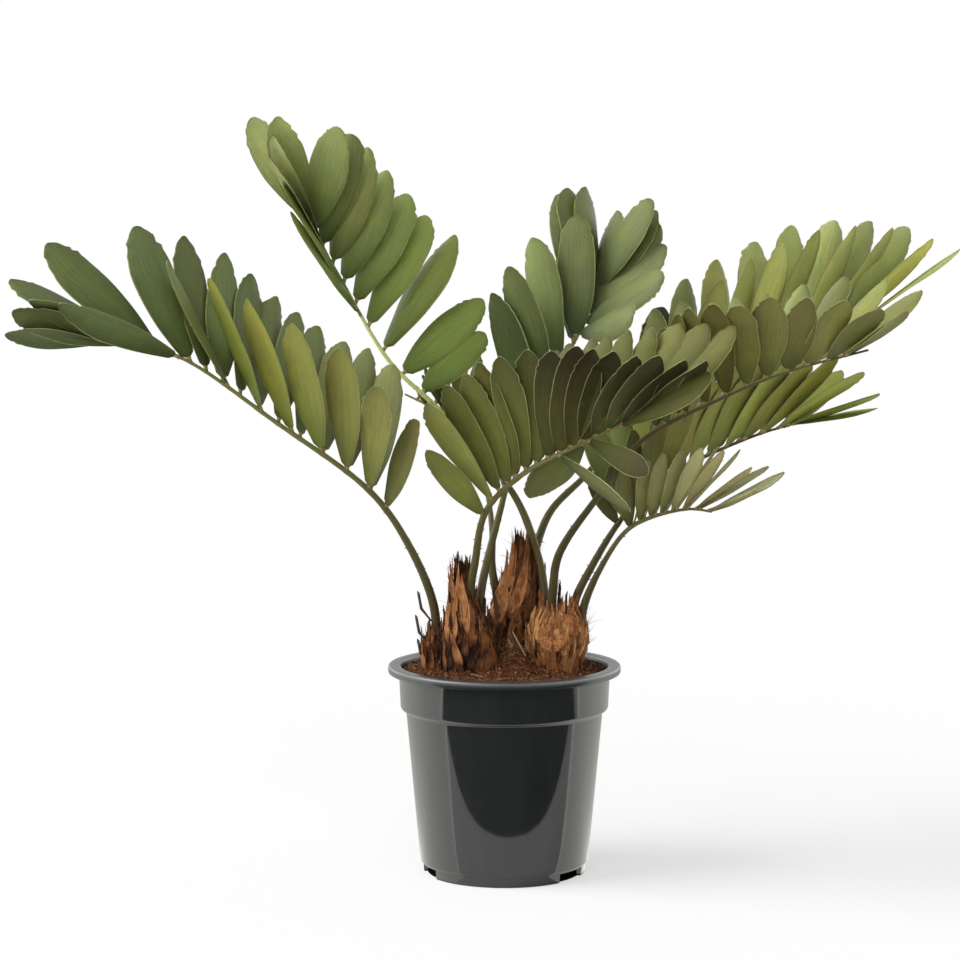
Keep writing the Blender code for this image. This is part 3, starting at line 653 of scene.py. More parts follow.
def leaflet(sketch, point, tangent, side, up, row, share, tag):
    """A thin leathery blade on a short swollen foot, with a rolled rim, pale partly as a painted
    highlight, and a toothed tip.
    """
    sign = 1.0 if row.side == "left" else -1.0
    forward = math.radians(value_at(row.forward, share) + dice.gauss(0, FORWARD_STRAY))
    lift = math.radians(value_at(row.lift, share) + dice.gauss(0, LIFT_STRAY))
    twist = math.radians(value_at(row.twist, share) + dice.gauss(0, TWIST_STRAY))
    length = value_at(row.length, share) * dice.uniform(*LENGTH_RANGE)
    width = row.width * dice.uniform(*WIDTH_RANGE)
    away = math.cos(lift) * sign * side + math.sin(lift) * up
    along = math.cos(forward) * tangent + math.sin(forward) * away
    across = (tangent - tangent.dot(along) * along).normalized()
    face = along.cross(across)
    if face.dot(sign * tangent.cross(away)) < 0:
        face.negate()
    edge = math.cos(twist) * across + math.sin(twist) * face
    normal = math.cos(twist) * face - math.sin(twist) * across
    bow = BOW + dice.gauss(0, BOW_STRAY)
    sway = dice.gauss(0, BOW_STRAY)
    camber = dice.uniform(*CAMBER_RANGE)
    wave = dice.uniform(*WAVE_RANGE)
    phase = any_turn()
    turn_at_tip = math.radians(dice.gauss(0, TIP_TURN_STRAY))
    widest = dice.uniform(*WIDEST_RANGE)
    bluntness = dice.uniform(*BLUNTNESS_RANGE)
    seed = SEED_RANGE * dice.random()
    rings = []
    for station in ALONG:
        middle = point + along * length * station
        middle -= normal * bow * length * station**2
        middle += edge * sway * length * (station**2 - station**3)
        half = width / 2 * width_share(station, widest, bluntness)
        if station <= FOOT_END:
            half = min(half, FOOT_HALF_WIDTH + FOOT_BULGE * abs(station / FOOT_WAIST - 1))
        halves = margins(half, station, seed)
        turn = turn_at_tip * station**2
        reach = math.cos(turn) * edge + math.sin(turn) * normal
        rise = math.cos(turn) * normal - math.sin(turn) * edge
        thick = blend(FOOT_THICKNESS, BLADE_THICKNESS, smoothstep(0.02, 0.11, station))
        ridge = wave * math.sin(9 * station + phase) * smoothstep(0.1, 0.4, station)
        ring = []
        for place, layer in ROUND:
            edge_share = abs(place)
            rim = RIM_THICKNESS if edge_share > RIM_START else thick
            depth = 0.0 if edge_share == 1.0 else max(rim, thick * (1 - edge_share**2))
            height = ridge * place - camber * half * edge_share**2 + layer * depth
            spot = middle + reach * (place * halves[place > 0]) + rise * height
            ring.append(sketch.point(spot, (place, station, tag)))
        rings.append(ring)
    cover_blade(sketch, rings)
    tip = point + along * length - normal * bow * length
    sketch.fan(rings[-1], sketch.point(tip, (0.0, 1.0, tag)), RIM)
    sketch.face(rings[0], FOOT)


def cover_blade(sketch, rings):
    """The faces between a blade's rings: swollen foot, rims, upper and under face."""
    columns = len(ACROSS)
    around = len(ROUND)
    for station, (lower, upper) in enumerate(zip(rings, rings[1:])):
        for index in range(around):
            after = (index + 1) % around
            if ALONG[station] < FOOT_END:
                finish = FOOT
            elif index in (0, columns - 2, columns - 1, around - 1):
                finish = RIM
            else:
                finish = UPPER if index < columns - 1 else UNDER
            sketch.face((lower[index], lower[after], upper[after], upper[index]), finish)


STALK_SIDES = 12
STALK_STATIONS = 150
STALK_GROOVE = 0.14
STALK_ROUGHNESS = 0.05
NODE_SWELLING = 0.10
NODE_LENGTH = 0.006
PRICKLES = 16
PRICKLE_START = 0.06
PRICKLE_LENGTHS = (0.0016, 0.0026)
PRICKLE_LEAN = 0.001
PRICKLE_RADII = (0.0007, 0.0004, 0.0001)


def stalk(sketch, line, plan):
    """Petiole and rachis: swollen at each leaflet, grooved on top, prickly below the leaflets."""
    first_leaflet = min(value_at(row.at, 0.0) for row in plan.rows)
    starts = [value_at(row.at, share) for row in plan.rows for share in row_shares(row)]
    rings = []
    side = None
    for station in range(STALK_STATIONS):
        share = station / (STALK_STATIONS - 1)
        point, tangent, fresh, _ = place_on(line, share)
        side = fresh if side is None else (side - side.dot(tangent) * tangent).normalized()
        up = tangent.cross(side)
        nearest = min(abs(share - start) for start in starts)
        swelling = 1 + NODE_SWELLING * math.exp(-((nearest / NODE_LENGTH) ** 2))
        radius = rachis_radius(share) * swelling
        ring = []
        for turn in turns(STALK_SIDES):
            direction = math.cos(turn) * side + math.sin(turn) * up
            top = smoothstep(0.75, 1.0, math.sin(turn)) * smoothstep(0.1, 0.4, share)
            rough = STALK_ROUGHNESS * wobble(point + 0.02 * direction, 0.004)
            spot = point + direction * radius * (1 - STALK_GROOVE * top + rough)
            ring.append(sketch.point(spot, (turn / (2 * math.pi), share, 0.5)))
        rings.append(ring)
    sketch.tube(rings)
    for _ in range(PRICKLES):
        share = dice.uniform(PRICKLE_START, first_leaflet * 0.98)
        point, tangent, across, over = place_on(line, share)
        turn = any_turn()
        out = math.cos(turn) * across + math.sin(turn) * over
        root = point + out * rachis_radius(share) * 0.8
        tip = root + out * dice.uniform(*PRICKLE_LENGTHS)
        tip += tangent * dice.uniform(-PRICKLE_LEAN, PRICKLE_LEAN)
        sketch.strand([root, root.lerp(tip, 0.6), tip], PRICKLE_RADII, 5, 1)


def make_frond(name, plan):
    look = LOOKS[name]
    line = smooth_route(plan.route)
    blades = Sketch()
    first = min(value_at(row.at, 0.0) for row in plan.rows)
    for row in plan.rows:
        for share in row_shares(row):
            at = value_at(row.at, share)
            tag = (at - first) / (1 - first)
            leaflet(blades, *place_on(line, at, plan.roll), row, share, tag)
    faces = [
        blade_finish(f"{name}_upper", look.upper, look.yellow, True),
        blade_finish(f"{name}_under", look.under, look.yellow, False),
        rim_finish(),
        foot_finish(),
    ]
    blades.piece(f"{name}_leaflets", name, faces)
    stem = Sketch()
    stalk(stem, line, plan)
    surfaces = [stalk_finish(f"{name}_stalk", look.stalk), thorn_finish()]
    stem.piece(f"{name}_stem", name, surfaces)


TONE_STOPS = (0.0, 0.42, 0.76)
VEINS = 13
BROWNER = (1.15, 0.80, 0.62)
YELLOWER = (1.55, 1.42, 1.0)
PALER = (1.22, 1.12, 0.92)
SCORCHED = (0.260, 0.110, 0.035)
SCURF = (0.075, 0.040, 0.020)


def blade_finish(name, tones, yellow, shiny):
    """A leaflet's face: fine parallel veins, blotches, a foot-to-tip change and its own tint, with
    painted shade on one half of its fold, at its margins and at its foot.
    """
    finish = Finish(name, 0.5, 0.13)
    across, along, at = finish.place()
    foot, tip = [at.ramp(*zip(TONE_STOPS, colours)) for colours in tones]
    base = finish.mix(along.spread(0.08, 0.90, 0.0, 1.0), foot, tip)
    draw = finish.value("ShaderNodeTexWhiteNoise", "Color", {"noise_dimensions": "1D"}, W=at)
    brown, light, turned = finish.axes(draw)
    base = base.tint(brown.spread(0.5, 1.0, 0.0, 0.25 if shiny else 0.50), BROWNER)
    base = base.tint(turned.spread(0.55, 1.0, 0.0, yellow), YELLOWER)
    base = base.shade(light.spread(0.0, 1.0, 0.74, 1.22))
    # Painted shade: one half of each cambered blade darker than the other, the margins darker, and the
    # foot darker where the leaflets crowd along the rachis.
    base = base.shade(across * (turned - 0.5) * 0.55 + 1.0)
    margin = across.math("ABSOLUTE").math("POWER", 3.0)
    base = base.shade(margin.spread(0.0, 1.0, 1.04, 0.80))
    base = base.shade(along.spread(0.04, 0.42, 0.62, 1.05))
    veins = (across * (VEINS * 2 * math.pi)).math("SINE")
    streaks = finish.noise(finish.combine(across * 9.0, along * 1.2, at), 3.0, 4.0)
    base = base.shade(veins.spread(-1.0, 1.0, 0.94, 1.06)).mottle(streaks, 0.80, 1.20)
    base = base.tint(finish.grain(60.0, 4.0).spread(0.50, 0.75, 0.0, 1.0), PALER)
    patches = finish.noise(finish.combine(across, along * 3.0, at * 90.0), 1.1, 4.0)
    scorch = patches.spread(0.64, 0.72, 0.0, 1.0) * margin
    finish.colour(finish.mix(scorch, base, SCORCHED))
    gloss = (0.36, 0.54) if shiny else (0.5, 0.68)
    finish.rough(finish.grain(900.0, 2.0).spread(0.3, 0.7, *gloss))
    finish.bump(veins * 0.5 + streaks * 1.2, 0.00012)
    return finish.material


@functools.cache
def rim_finish():
    """The thickened pale margin, pale partly as a painted highlight where its edges catch the light."""
    finish = Finish("leaflet_rim", 0.5, 0.25)
    _, along, _ = finish.place()
    tone = along.ramp((0.1, (0.17, 0.18, 0.050)), (0.9, (0.24, 0.24, 0.080)))
    finish.colour(tone.mottle(finish.grain(250.0), 0.7, 1.25))
    finish.bump(finish.grain(1500.0), 0.0001)
    return finish.material


@functools.cache
def foot_finish():
    """The swollen orange-brown joint between leaflet and rachis."""
    finish = Finish("leaflet_foot", 0.6)
    _, along, _ = finish.place()
    tone = along.ramp((0.0, (0.12, 0.05, 0.018)), (0.045, (0.26, 0.20, 0.06)))
    patches = finish.grain(700.0)
    finish.colour(tone.mottle(patches, 0.75, 1.2))
    finish.bump(patches, 0.0002)
    return finish.material


def stalk_finish(name, tones):
    """A stem that turns from brown at the crown to green, with lengthwise streaks and scurf."""
    finish = Finish(name, 0.5, 0.18)
    turn, along, _ = finish.place()
    streaks = finish.noise(finish.combine(turn * 8.0, along * 14.0, 0.0), 2.0, 4.0)
    tone = along.ramp(*zip((0.03, 0.28, 0.60), tones)).mottle(streaks, 0.75, 1.25)
    scurf = finish.grain(420.0, 4.0)
    finish.colour(finish.mix(scurf.spread(0.55, 0.72, 0.0, 0.55), tone, SCURF))
    finish.rough(scurf.spread(0.3, 0.7, 0.38, 0.62))
    finish.bump(streaks + scurf, 0.0002)
    return finish.material


@functools.cache
def thorn_finish():
    return two_tone("prickle", 0.55, 0.5, 900.0, 3.0, ((0.03, 0.018, 0.010), (0.09, 0.055, 0.028)))


# The crowns: lobed woody cores under many dry, shaggy leaf bases and fibres. "rings" are heights
# and plain radii, "lean" how far the tip stands off the foot, "tone" how pale the husks are.
Crown = namedtuple("Crown", "centre phase husks lean tone rings")
CROWNS = {
    "crown_left": Crown((-0.031, -0.020), 20, 190, (-0.008, 0.0), -0.02, [
        (0.150, 0.026), (0.200, 0.027), (0.218, 0.023), (0.235, 0.017), (0.252, 0.011),
        (0.286, 0.005),
    ]),
    "crown_middle": Crown((0.003, 0.026), 65, 190, (0.016, 0.0), 0.12, [
        (0.150, 0.020), (0.205, 0.022), (0.238, 0.023), (0.256, 0.020), (0.273, 0.0140),
        (0.289, 0.0090), (0.301, 0.0055),
    ]),
    "crown_right": Crown((0.049, -0.012), 5, 170, (0.0, 0.0), 0.95, [
        (0.150, 0.020), (0.195, 0.022), (0.212, 0.026), (0.228, 0.026), (0.238, 0.021),
        (0.244, 0.012),
    ]),
    "crown_offset": Crown((-0.0645, 0.000), 40, 44, (0.0, 0.0), 0.25, [
        (0.150, 0.009), (0.190, 0.011), (0.212, 0.010), (0.224, 0.006),
    ]),
}
# Large husks on the side that is seen: bearing, foot, length, width, flare and tone.
LARGE_HUSKS = {
    "crown_left": (
        (-130, 0.216, 0.062, 0.014, 0.02, 0.80),
        (-104, 0.222, 0.062, 0.013, 0.04, 0.95),
        (-84, 0.214, 0.050, 0.009, 0.06, 0.55),
        (-45, 0.192, 0.044, 0.012, 0.12, 0.75),
        (-70, 0.186, 0.030, 0.012, 0.20, 0.70),
    ),
    "crown_middle": (
        (-148, 0.234, 0.052, 0.011, 0.03, 1.05),
        (-126, 0.228, 0.062, 0.013, 0.03, 0.95),
        (-112, 0.240, 0.060, 0.010, 0.03, 1.15),
        (-96, 0.236, 0.058, 0.010, 0.03, 0.85),
        (-78, 0.246, 0.056, 0.009, 0.03, 0.65),
        (-58, 0.226, 0.050, 0.009, 0.03, 0.45),
    ),
}
# The dead spikes on the small crown: x, height and reach.
SPIKES = ((-0.067, 0.232, 0.026), (-0.069, 0.210, 0.026), (-0.070, 0.194, 0.020))
SPIKE_RADII = (0.0007, 0.0014, 0.0013, 0.0004)
SOIL_LEVEL = 0.189
CORE_SIDES = 72
CORE_LEVELS = 60
CORE_SINK = 0.0034
CORE_ROUGHNESS = 0.0022
CORE_THINNEST = 0.0006
LOBES = 5
LOBE_DEPTH = 0.07
GOLDEN_ANGLE = math.radians(137.5)
HUSK_COLUMNS = 4
HUSK_LEVELS = 11
HUSK_THICKNESS = 0.0005
HUSK_LENGTHS = (0.016, 0.042)
HUSK_WIDTHS = (0.0025, 0.0075)
HUSK_LAYERS = (-0.0026, 0.0006)
# How far husks stand off the core, as a share of their length: most of them, and the loose ones.
CLOSE_FLARES = (-0.04, 0.10)
LOOSE_FLARES = (0.10, 0.34)
LOOSE_SHARE = 0.25
# A husk's sideways drift in radians, cupping, torn tip as a share of its length, and ruffles.
HUSK_DRIFT = 0.22
HUSK_CURLS = (-0.10, 0.50)
HUSK_TEAR = 0.22
HUSK_RUFFLE = 0.0013
FIBRE_STEPS = 5
FIBRE_TAPER = 0.85
FIBRE_CURL = 0.4
HUSK_FIBRE_LENGTHS = (0.006, 0.020)
HUSK_FIBRE_RADIUS = 0.00028
TOP_FIBRES = 26
TOP_FIBRE_LENGTHS = (0.012, 0.022)
TOP_FIBRE_RADIUS = 0.0008
# The right crown's scars: bearing, height, radius and depth.
SCARS = ((-103, 0.2185, 0.0130, 0.0016), (-70, 0.2300, 0.0095, 0.0012))
SCAR_SIDES = 40
SCAR_ROUNDING = 9.0
# From a scar's hidden skirt over its raised lip and into its dish: reach, and height or depth.
SCAR_LIP = ((1.12, -0.006), (1.08, -0.001), (1.0, 0.0009), (0.88, 0.0012), (0.7, 0.0))
SCAR_DISH = ((0.5, 0.2), (0.3, 0.7), (0.12, 1.0))
BARK, HUSK, SCAR, SPIKE = range(4)


def ring_radius(rings, height):
    """The crown's plain radius at a height."""
    if height <= rings[0][0]:
        return rings[0][1]
    for (low, first), (high, second) in zip(rings, rings[1:]):
        if height <= high:
            return blend(first, second, (height - low) / (high - low))
    return rings[-1][1]


def crown_axis(plan, height):
    """The crown's centre at a height: it leans a little towards its tip."""
    share = smoothstep(SOIL_LEVEL, plan.rings[-1][0], height)
    x, y = plan.centre
    return Vector((x + plan.lean[0] * share, y + plan.lean[1] * share, height))


def crown_core(sketch, plan):
    """The lobed core, wrinkled lengthwise."""
    low, high = plan.rings[0][0], plan.rings[-1][0] - 0.004
    rings = []
    for level in range(CORE_LEVELS):
        height = blend(low, high, level / (CORE_LEVELS - 1))
        ring = []
        for index, turn in enumerate(turns(CORE_SIDES)):
            lobes = 1 + LOBE_DEPTH * math.cos(LOBES * turn + math.radians(plan.phase))
            direction = outward(turn)
            wrinkles = wobble(direction * 0.02 + Vector((0, 0, height * 0.3)), 0.0035, plan.phase)
            lumps = wobble(direction * 0.03 + Vector((0, 0, height)), 0.009)
            radius = ring_radius(plan.rings, height) * lobes - CORE_SINK
            radius += CORE_ROUGHNESS * (wrinkles + lumps)
            spot = crown_axis(plan, height) + direction * max(radius, CORE_THINNEST)
            ring.append(sketch.point(spot, (index / CORE_SIDES, level / CORE_LEVELS, 0.3)))
        rings.append(ring)
    sketch.tube(rings, BARK)


def husk(sketch, plan, turn, foot, length, width, flare, tone, layer=0.0):
    """One dry leaf base: a cupped strip that stands off the core and frays at its tip."""
    drift = dice.gauss(0, HUSK_DRIFT)
    curl = dice.uniform(*HUSK_CURLS)
    tears = [dice.uniform(-1, 1) for _ in range(HUSK_COLUMNS + 1)]
    phase = dice.uniform(0, 50)
    outer = []
    inner = []
    for level in range(HUSK_LEVELS + 1):
        share = level / HUSK_LEVELS
        height = foot + length * share
        half = width / 2 * (0.40 + 0.80 * math.sin(math.pi * share**0.6)) * (1 - 0.50 * share**4)
        row_out = []
        row_in = []
        for column, tear in enumerate(tears):
            across = 2 * column / HUSK_COLUMNS - 1
            torn = HUSK_TEAR * length * tear * share**4
            hugging = ring_radius(plan.rings, height)
            radius = blend(hugging, ring_radius(plan.rings, foot), 0.30 * share) + layer
            radius += flare * length * share**2 + curl * half * across**2
            radius += HUSK_RUFFLE * wobble((turn * 4 + across, share * 2.5, phase), 0.5)
            angle = turn + across * half / max(radius, 0.006) + drift * share
            angle += 0.10 * wobble((phase, share * 3, turn), 0.8) * share
            direction = outward(angle)
            spot = crown_axis(plan, height) + direction * radius + Vector((0.0, 0.0, torn))
            row_out.append(sketch.point(spot, (across, share, tone)))
            row_in.append(sketch.point(spot - direction * HUSK_THICKNESS, (across, share, tone)))
        outer.append(row_out)
        inner.append(row_in)
    close_sheet(sketch, outer, inner)


def close_sheet(sketch, outer, inner):
    """A thin closed sheet from two grids of points, one behind the other."""
    last = HUSK_COLUMNS
    for low_out, high_out, low_in, high_in in zip(outer, outer[1:], inner, inner[1:]):
        for column in range(last):
            after = column + 1
            sketch.face((low_out[column], low_out[after], high_out[after], high_out[column]), HUSK)
            sketch.face((low_in[after], low_in[column], high_in[column], high_in[after]), HUSK)
        for side in (0, last):
            sketch.face((low_out[side], high_out[side], high_in[side], low_in[side]), HUSK)
    for level in (0, -1):
        for column in range(last):
            after = column + 1
            corners = (outer[level][column], outer[level][after])
            sketch.face((*corners, inner[level][after], inner[level][column]), HUSK)


def fibre(sketch, start, direction, length, radius, finish):
    """A stiff curling hair."""
    points = [Vector(start)]
    heading = Vector(direction).normalized()
    curl = Vector((dice.gauss(0, 0.3), dice.gauss(0, 0.3), dice.gauss(0, 0.25)))
    for _ in range(FIBRE_STEPS):
        heading = (heading + curl * FIBRE_CURL).normalized()
        points.append(points[-1] + heading * length / FIBRE_STEPS)
    radii = [radius * (1 - FIBRE_TAPER * step / FIBRE_STEPS) for step in range(FIBRE_STEPS + 1)]
    sketch.strand(points, radii, 4, finish, dice.random())


def scar(sketch, plan, azimuth, height, radius, deep):
    """A round, dished scar where a leaf came away, facing outwards."""
    turn = math.radians(azimuth)
    out = Vector((math.cos(turn), math.sin(turn), 0.12)).normalized()
    across = Vector((-math.sin(turn), math.cos(turn), 0.0))
    over = out.cross(across)
    hub = crown_axis(plan, height) + out * (ring_radius(plan.rings, height) + 0.0008)
    dish = [(reach, -share * deep) for reach, share in SCAR_DISH]
    rings = []
    for reach, depth in [*SCAR_LIP, *dish]:
        ring = []
        for bearing in turns(SCAR_SIDES):
            plane = math.cos(bearing) * across + math.sin(bearing) * over
            bent = radius * reach * (1 + 0.10 * wobble(plane, 0.6, azimuth))
            lumps = 0.0010 * wobble(hub + plane * bent, 0.0028) * reach
            spot = hub + plane * bent + out * (depth + lumps - SCAR_ROUNDING * bent**2)
            ring.append(sketch.point(spot, (reach, bearing / 6.3, 0.5)))
        rings.append(ring)
    sketch.tube(rings, SCAR)


def cover_crown(sketch, plan):
    """The husks in a spiral up the crown, and loose fibres between them."""
    top = plan.rings[-1][0]
    for index in range(plan.husks):
        share = index / plan.husks
        foot = blend(SOIL_LEVEL - 0.012, top - 0.016, share)
        length = min(dice.uniform(*HUSK_LENGTHS), max(top + 0.006 - foot, 0.014))
        wide = dice.uniform(*HUSK_WIDTHS)
        flare = dice.uniform(*CLOSE_FLARES)
        if dice.random() < LOOSE_SHARE:
            flare = dice.uniform(*LOOSE_FLARES) * (1 - 0.6 * share)
        layer = dice.uniform(*HUSK_LAYERS)
        tone = plan.tone + dice.random() ** 1.4
        turn = index * GOLDEN_ANGLE + dice.gauss(0, 0.3)
        husk(sketch, plan, turn, foot, length, wide, flare, tone, layer)
    for _ in range(2 * plan.husks):
        direction = outward(any_turn())
        height = dice.uniform(SOIL_LEVEL, top - 0.004)
        start = crown_axis(plan, height) + direction * (ring_radius(plan.rings, height) - 0.001)
        lean = direction * dice.uniform(0.1, 0.8) + Vector((0.0, 0.0, 1.0))
        fibre(sketch, start, lean, dice.uniform(*HUSK_FIBRE_LENGTHS), HUSK_FIBRE_RADIUS, HUSK)


def top_fibres(sketch, plan):
    """Stiff dark fibres that stand up from the crown's tip."""
    high, tip_radius = plan.rings[-1]
    for _ in range(TOP_FIBRES):
        direction = outward(any_turn())
        reach = dice.uniform(0.25, 0.95) * tip_radius
        start = crown_axis(plan, high - 0.014) + direction * reach
        heading = direction * dice.uniform(0.0, 0.35) + Vector((0.0, 0.0, 1.0))
        fibre(sketch, start, heading, dice.uniform(*TOP_FIBRE_LENGTHS), TOP_FIBRE_RADIUS, BARK)


def right_crown_face(sketch, plan):
    """Two scars on the side that is seen, with a fringe of husks above them."""
    for azimuth, height, radius, deep in SCARS:
        scar(sketch, plan, azimuth, height, radius, deep)
    for azimuth in range(-170, 168, 13):
        size = dice.uniform(0.016, 0.028)
        wide = dice.uniform(0.003, 0.006)
        husk(sketch, plan, math.radians(azimuth), 0.230, size, wide, 0.12, 0.75, -0.001)
    for azimuth in range(-115, -10, 12):
        size = dice.uniform(0.022, 0.034)
        husk(sketch, plan, math.radians(azimuth), 0.236, size, 0.004, 0.0, 0.35, -0.013)


def dead_spikes(sketch):
    """Bent black remains of old petioles, leaning to the left."""
    for x, height, reach in SPIKES:
        root = Vector((x, -0.002, height))
        bend = root + Vector((-0.35 * reach, -0.001, 0.45 * reach))
        tip = root + Vector((-0.45 * reach, -0.002, reach))
        end = tip + Vector((-0.0008, 0.0, 0.002))
        sketch.strand([root, bend, tip, end], SPIKE_RADII, 7, SPIKE)


def make_crown(name, plan):
    sketch = Sketch()
    crown_core(sketch, plan)
    cover_crown(sketch, plan)
    if name != "crown_offset":
        top_fibres(sketch, plan)
    for azimuth, foot, length, width, flare, tone in LARGE_HUSKS.get(name, ()):
        husk(sketch, plan, math.radians(azimuth), foot, length, width, flare, tone, 0.001)
    if name == "crown_right":
        right_crown_face(sketch, plan)
    if name == "crown_offset":
        dead_spikes(sketch)
    surfaces = [bark_finish(), husk_finish(), scar_finish(), spike_finish()]
    sketch.piece(f"{name}_husks", name, surfaces, 60)


@functools.cache
def bark_finish():
    """The dark woody core, partly near black as painted shade in the gaps between the husks."""
    finish = Finish("crown_bark", 0.9, 0.2)
    clumps = finish.grain(160.0, 6.0, 0.65)
    grain = finish.grain(900.0)
    tone = clumps.ramp(
        (0.35, (0.010, 0.005, 0.003)),
        (0.50, (0.045, 0.018, 0.008)),
        (0.65, (0.120, 0.050, 0.020)),
        (0.80, (0.220, 0.110, 0.050)),
    )
    finish.colour(tone.mottle(grain, 0.6, 1.3))
    finish.bump(clumps + grain * 0.4, 0.0012)
    return finish.material


@functools.cache
def husk_finish():
    """Dry papery leaf bases: lengthwise fibres, from near black to straw, each of its own tone."""
    finish = Finish("dry_husk", 0.85, 0.2)
    across, along, tag = finish.place()
    lanes = finish.combine(across * 4.0, along * 1.3, tag * 30.0)
    fibres = finish.noise(lanes, 3.0, 7.0, 0.65, 0.4)
    _, _, height = finish.axes(finish.spot())
    light = tag * 0.42 + fibres * 0.9 + finish.grain(120.0, 4.0) * 0.5 - 0.25 - along * 0.18
    # Painted shade: the husks are darker at their feet, where they tuck under one another, and low down
    # by the soil.
    light = light - height.spread(0.192, 0.228, 0.15, 0.0) - along.spread(0.0, 0.20, 0.28, 0.0)
    finish.colour(light.ramp(
        (0.30, (0.014, 0.007, 0.004)),
        (0.50, (0.110, 0.040, 0.015)),
        (0.72, (0.330, 0.130, 0.044)),
        (1.00, (0.640, 0.335, 0.130)),
    ))
    finish.bump(fibres, 0.0010)
    return finish.material


@functools.cache
def scar_finish():
    """The orange corky scars."""
    finish = Finish("leaf_scar", 0.8, 0.2)
    reach, _, _ = finish.place()
    grain = finish.grain(420.0, 6.0, distortion=1.0)
    tone = grain.ramp((0.35, (0.160, 0.055, 0.018)), (0.62, (0.480, 0.200, 0.075)))
    finish.colour(tone.shade(reach.spread(0.6, 1.1, 1.15, 0.6)))
    finish.bump(grain, 0.0012)
    return finish.material


@functools.cache
def spike_finish():
    colours = ((0.008, 0.006, 0.007), (0.050, 0.034, 0.030))
    return two_tone("dead_spike", 0.6, 0.5, 400.0, 4.0, colours, 0.0004)


# The potting mix.
INNER_RADIUS = 0.0925
MIX_RINGS = 70
MIX_SIDES = 200
MIX_LEVEL = 0.1874
MIX_DOME = 0.0065
# The surface's clods, lumps and crumbs: height, size, and a layer of the noise of its own.
MIX_LUMPS = ((0.0022, 0.018, 0.0), (0.0016, 0.006, 0.3), (0.0012, 0.0022, 0.7))
# The mix's sides inside the pot, down from its surface: radius and height.
MIX_SIDE = ((0.0912, 0.153), (0.0868, 0.150), (0.0738, 0.0128))
MOUND = (0.007, -0.020)
MOUND_SPREAD = 0.017
MOUND_HEIGHT = 0.019
CHIPS = 2200
CHIP_SIZES = (0.0007, 0.0023)
HAIRS = 1500
HAIR_LENGTHS = (0.004, 0.014)
HAIR_RADIUS = 0.00022
HEAP_HAIRS = 260
HEAP_HAIR_LENGTHS = (0.006, 0.016)
HEAP_HAIR_RADIUS = 0.00025
STRAWS = (
    ((0.0190, -0.030, 0.204), (0.0070, -0.026, 0.2260)),
    ((0.0070, -0.034, 0.214), (0.0030, -0.036, 0.2200)),
    ((-0.020, -0.062, 0.190), (-0.030, -0.066, 0.1935)),
)
STRAW_RADII = (0.0006, 0.0008, 0.0005)
PEBBLE = (-0.004, -0.070)
PEBBLE_SIZE = 0.0028
COIR, CRUMB, HAIR, STRAW = range(4)


def on_mix(x, y):
    """The point of the mix's lumpy surface: a little domed, heaped up between the crowns."""
    reach = math.hypot(x, y) / INNER_RADIUS
    dome = MIX_DOME * max(1 - reach**2, 0.0) ** 1.5
    lumps = sum(height * wobble((x, y, layer), size) for height, size, layer in MIX_LUMPS)
    near = ((x - MOUND[0]) ** 2 + (y - MOUND[1]) ** 2) / MOUND_SPREAD**2
    mound = MOUND_HEIGHT * math.exp(-near)
    return Vector((x, y, MIX_LEVEL + dome + lumps + mound))


def anywhere_on_mix(share):
    """A random point of the surface, within a share of the pot's inner radius."""
    reach = INNER_RADIUS * share * math.sqrt(dice.random())
    turn = any_turn()
    return on_mix(reach * math.cos(turn), reach * math.sin(turn))


def chip(sketch, centre, size, finish):
    """A crumb of bark: a squashed, broken lump."""
    lump = bmesh.new()
    bmesh.ops.create_icosphere(lump, subdivisions=1, radius=1.0)
    turn = Matrix.Rotation(dice.uniform(0, 6.28), 3, Vector([dice.gauss(0, 1) for _ in range(3)]))
    stretch = Vector((size, size * dice.uniform(0.4, 0.8), size * dice.uniform(0.2, 0.5)))
    tag = dice.random()
    first = len(sketch.points)
    for vertex in lump.verts:
        reach = vertex.co * dice.uniform(0.75, 1.15)
        sketch.point(centre + turn @ (reach * stretch), (vertex.co.x, vertex.co.y, tag))
    for face in lump.faces:
        sketch.face([first + vertex.index for vertex in face.verts], finish)
    lump.free()


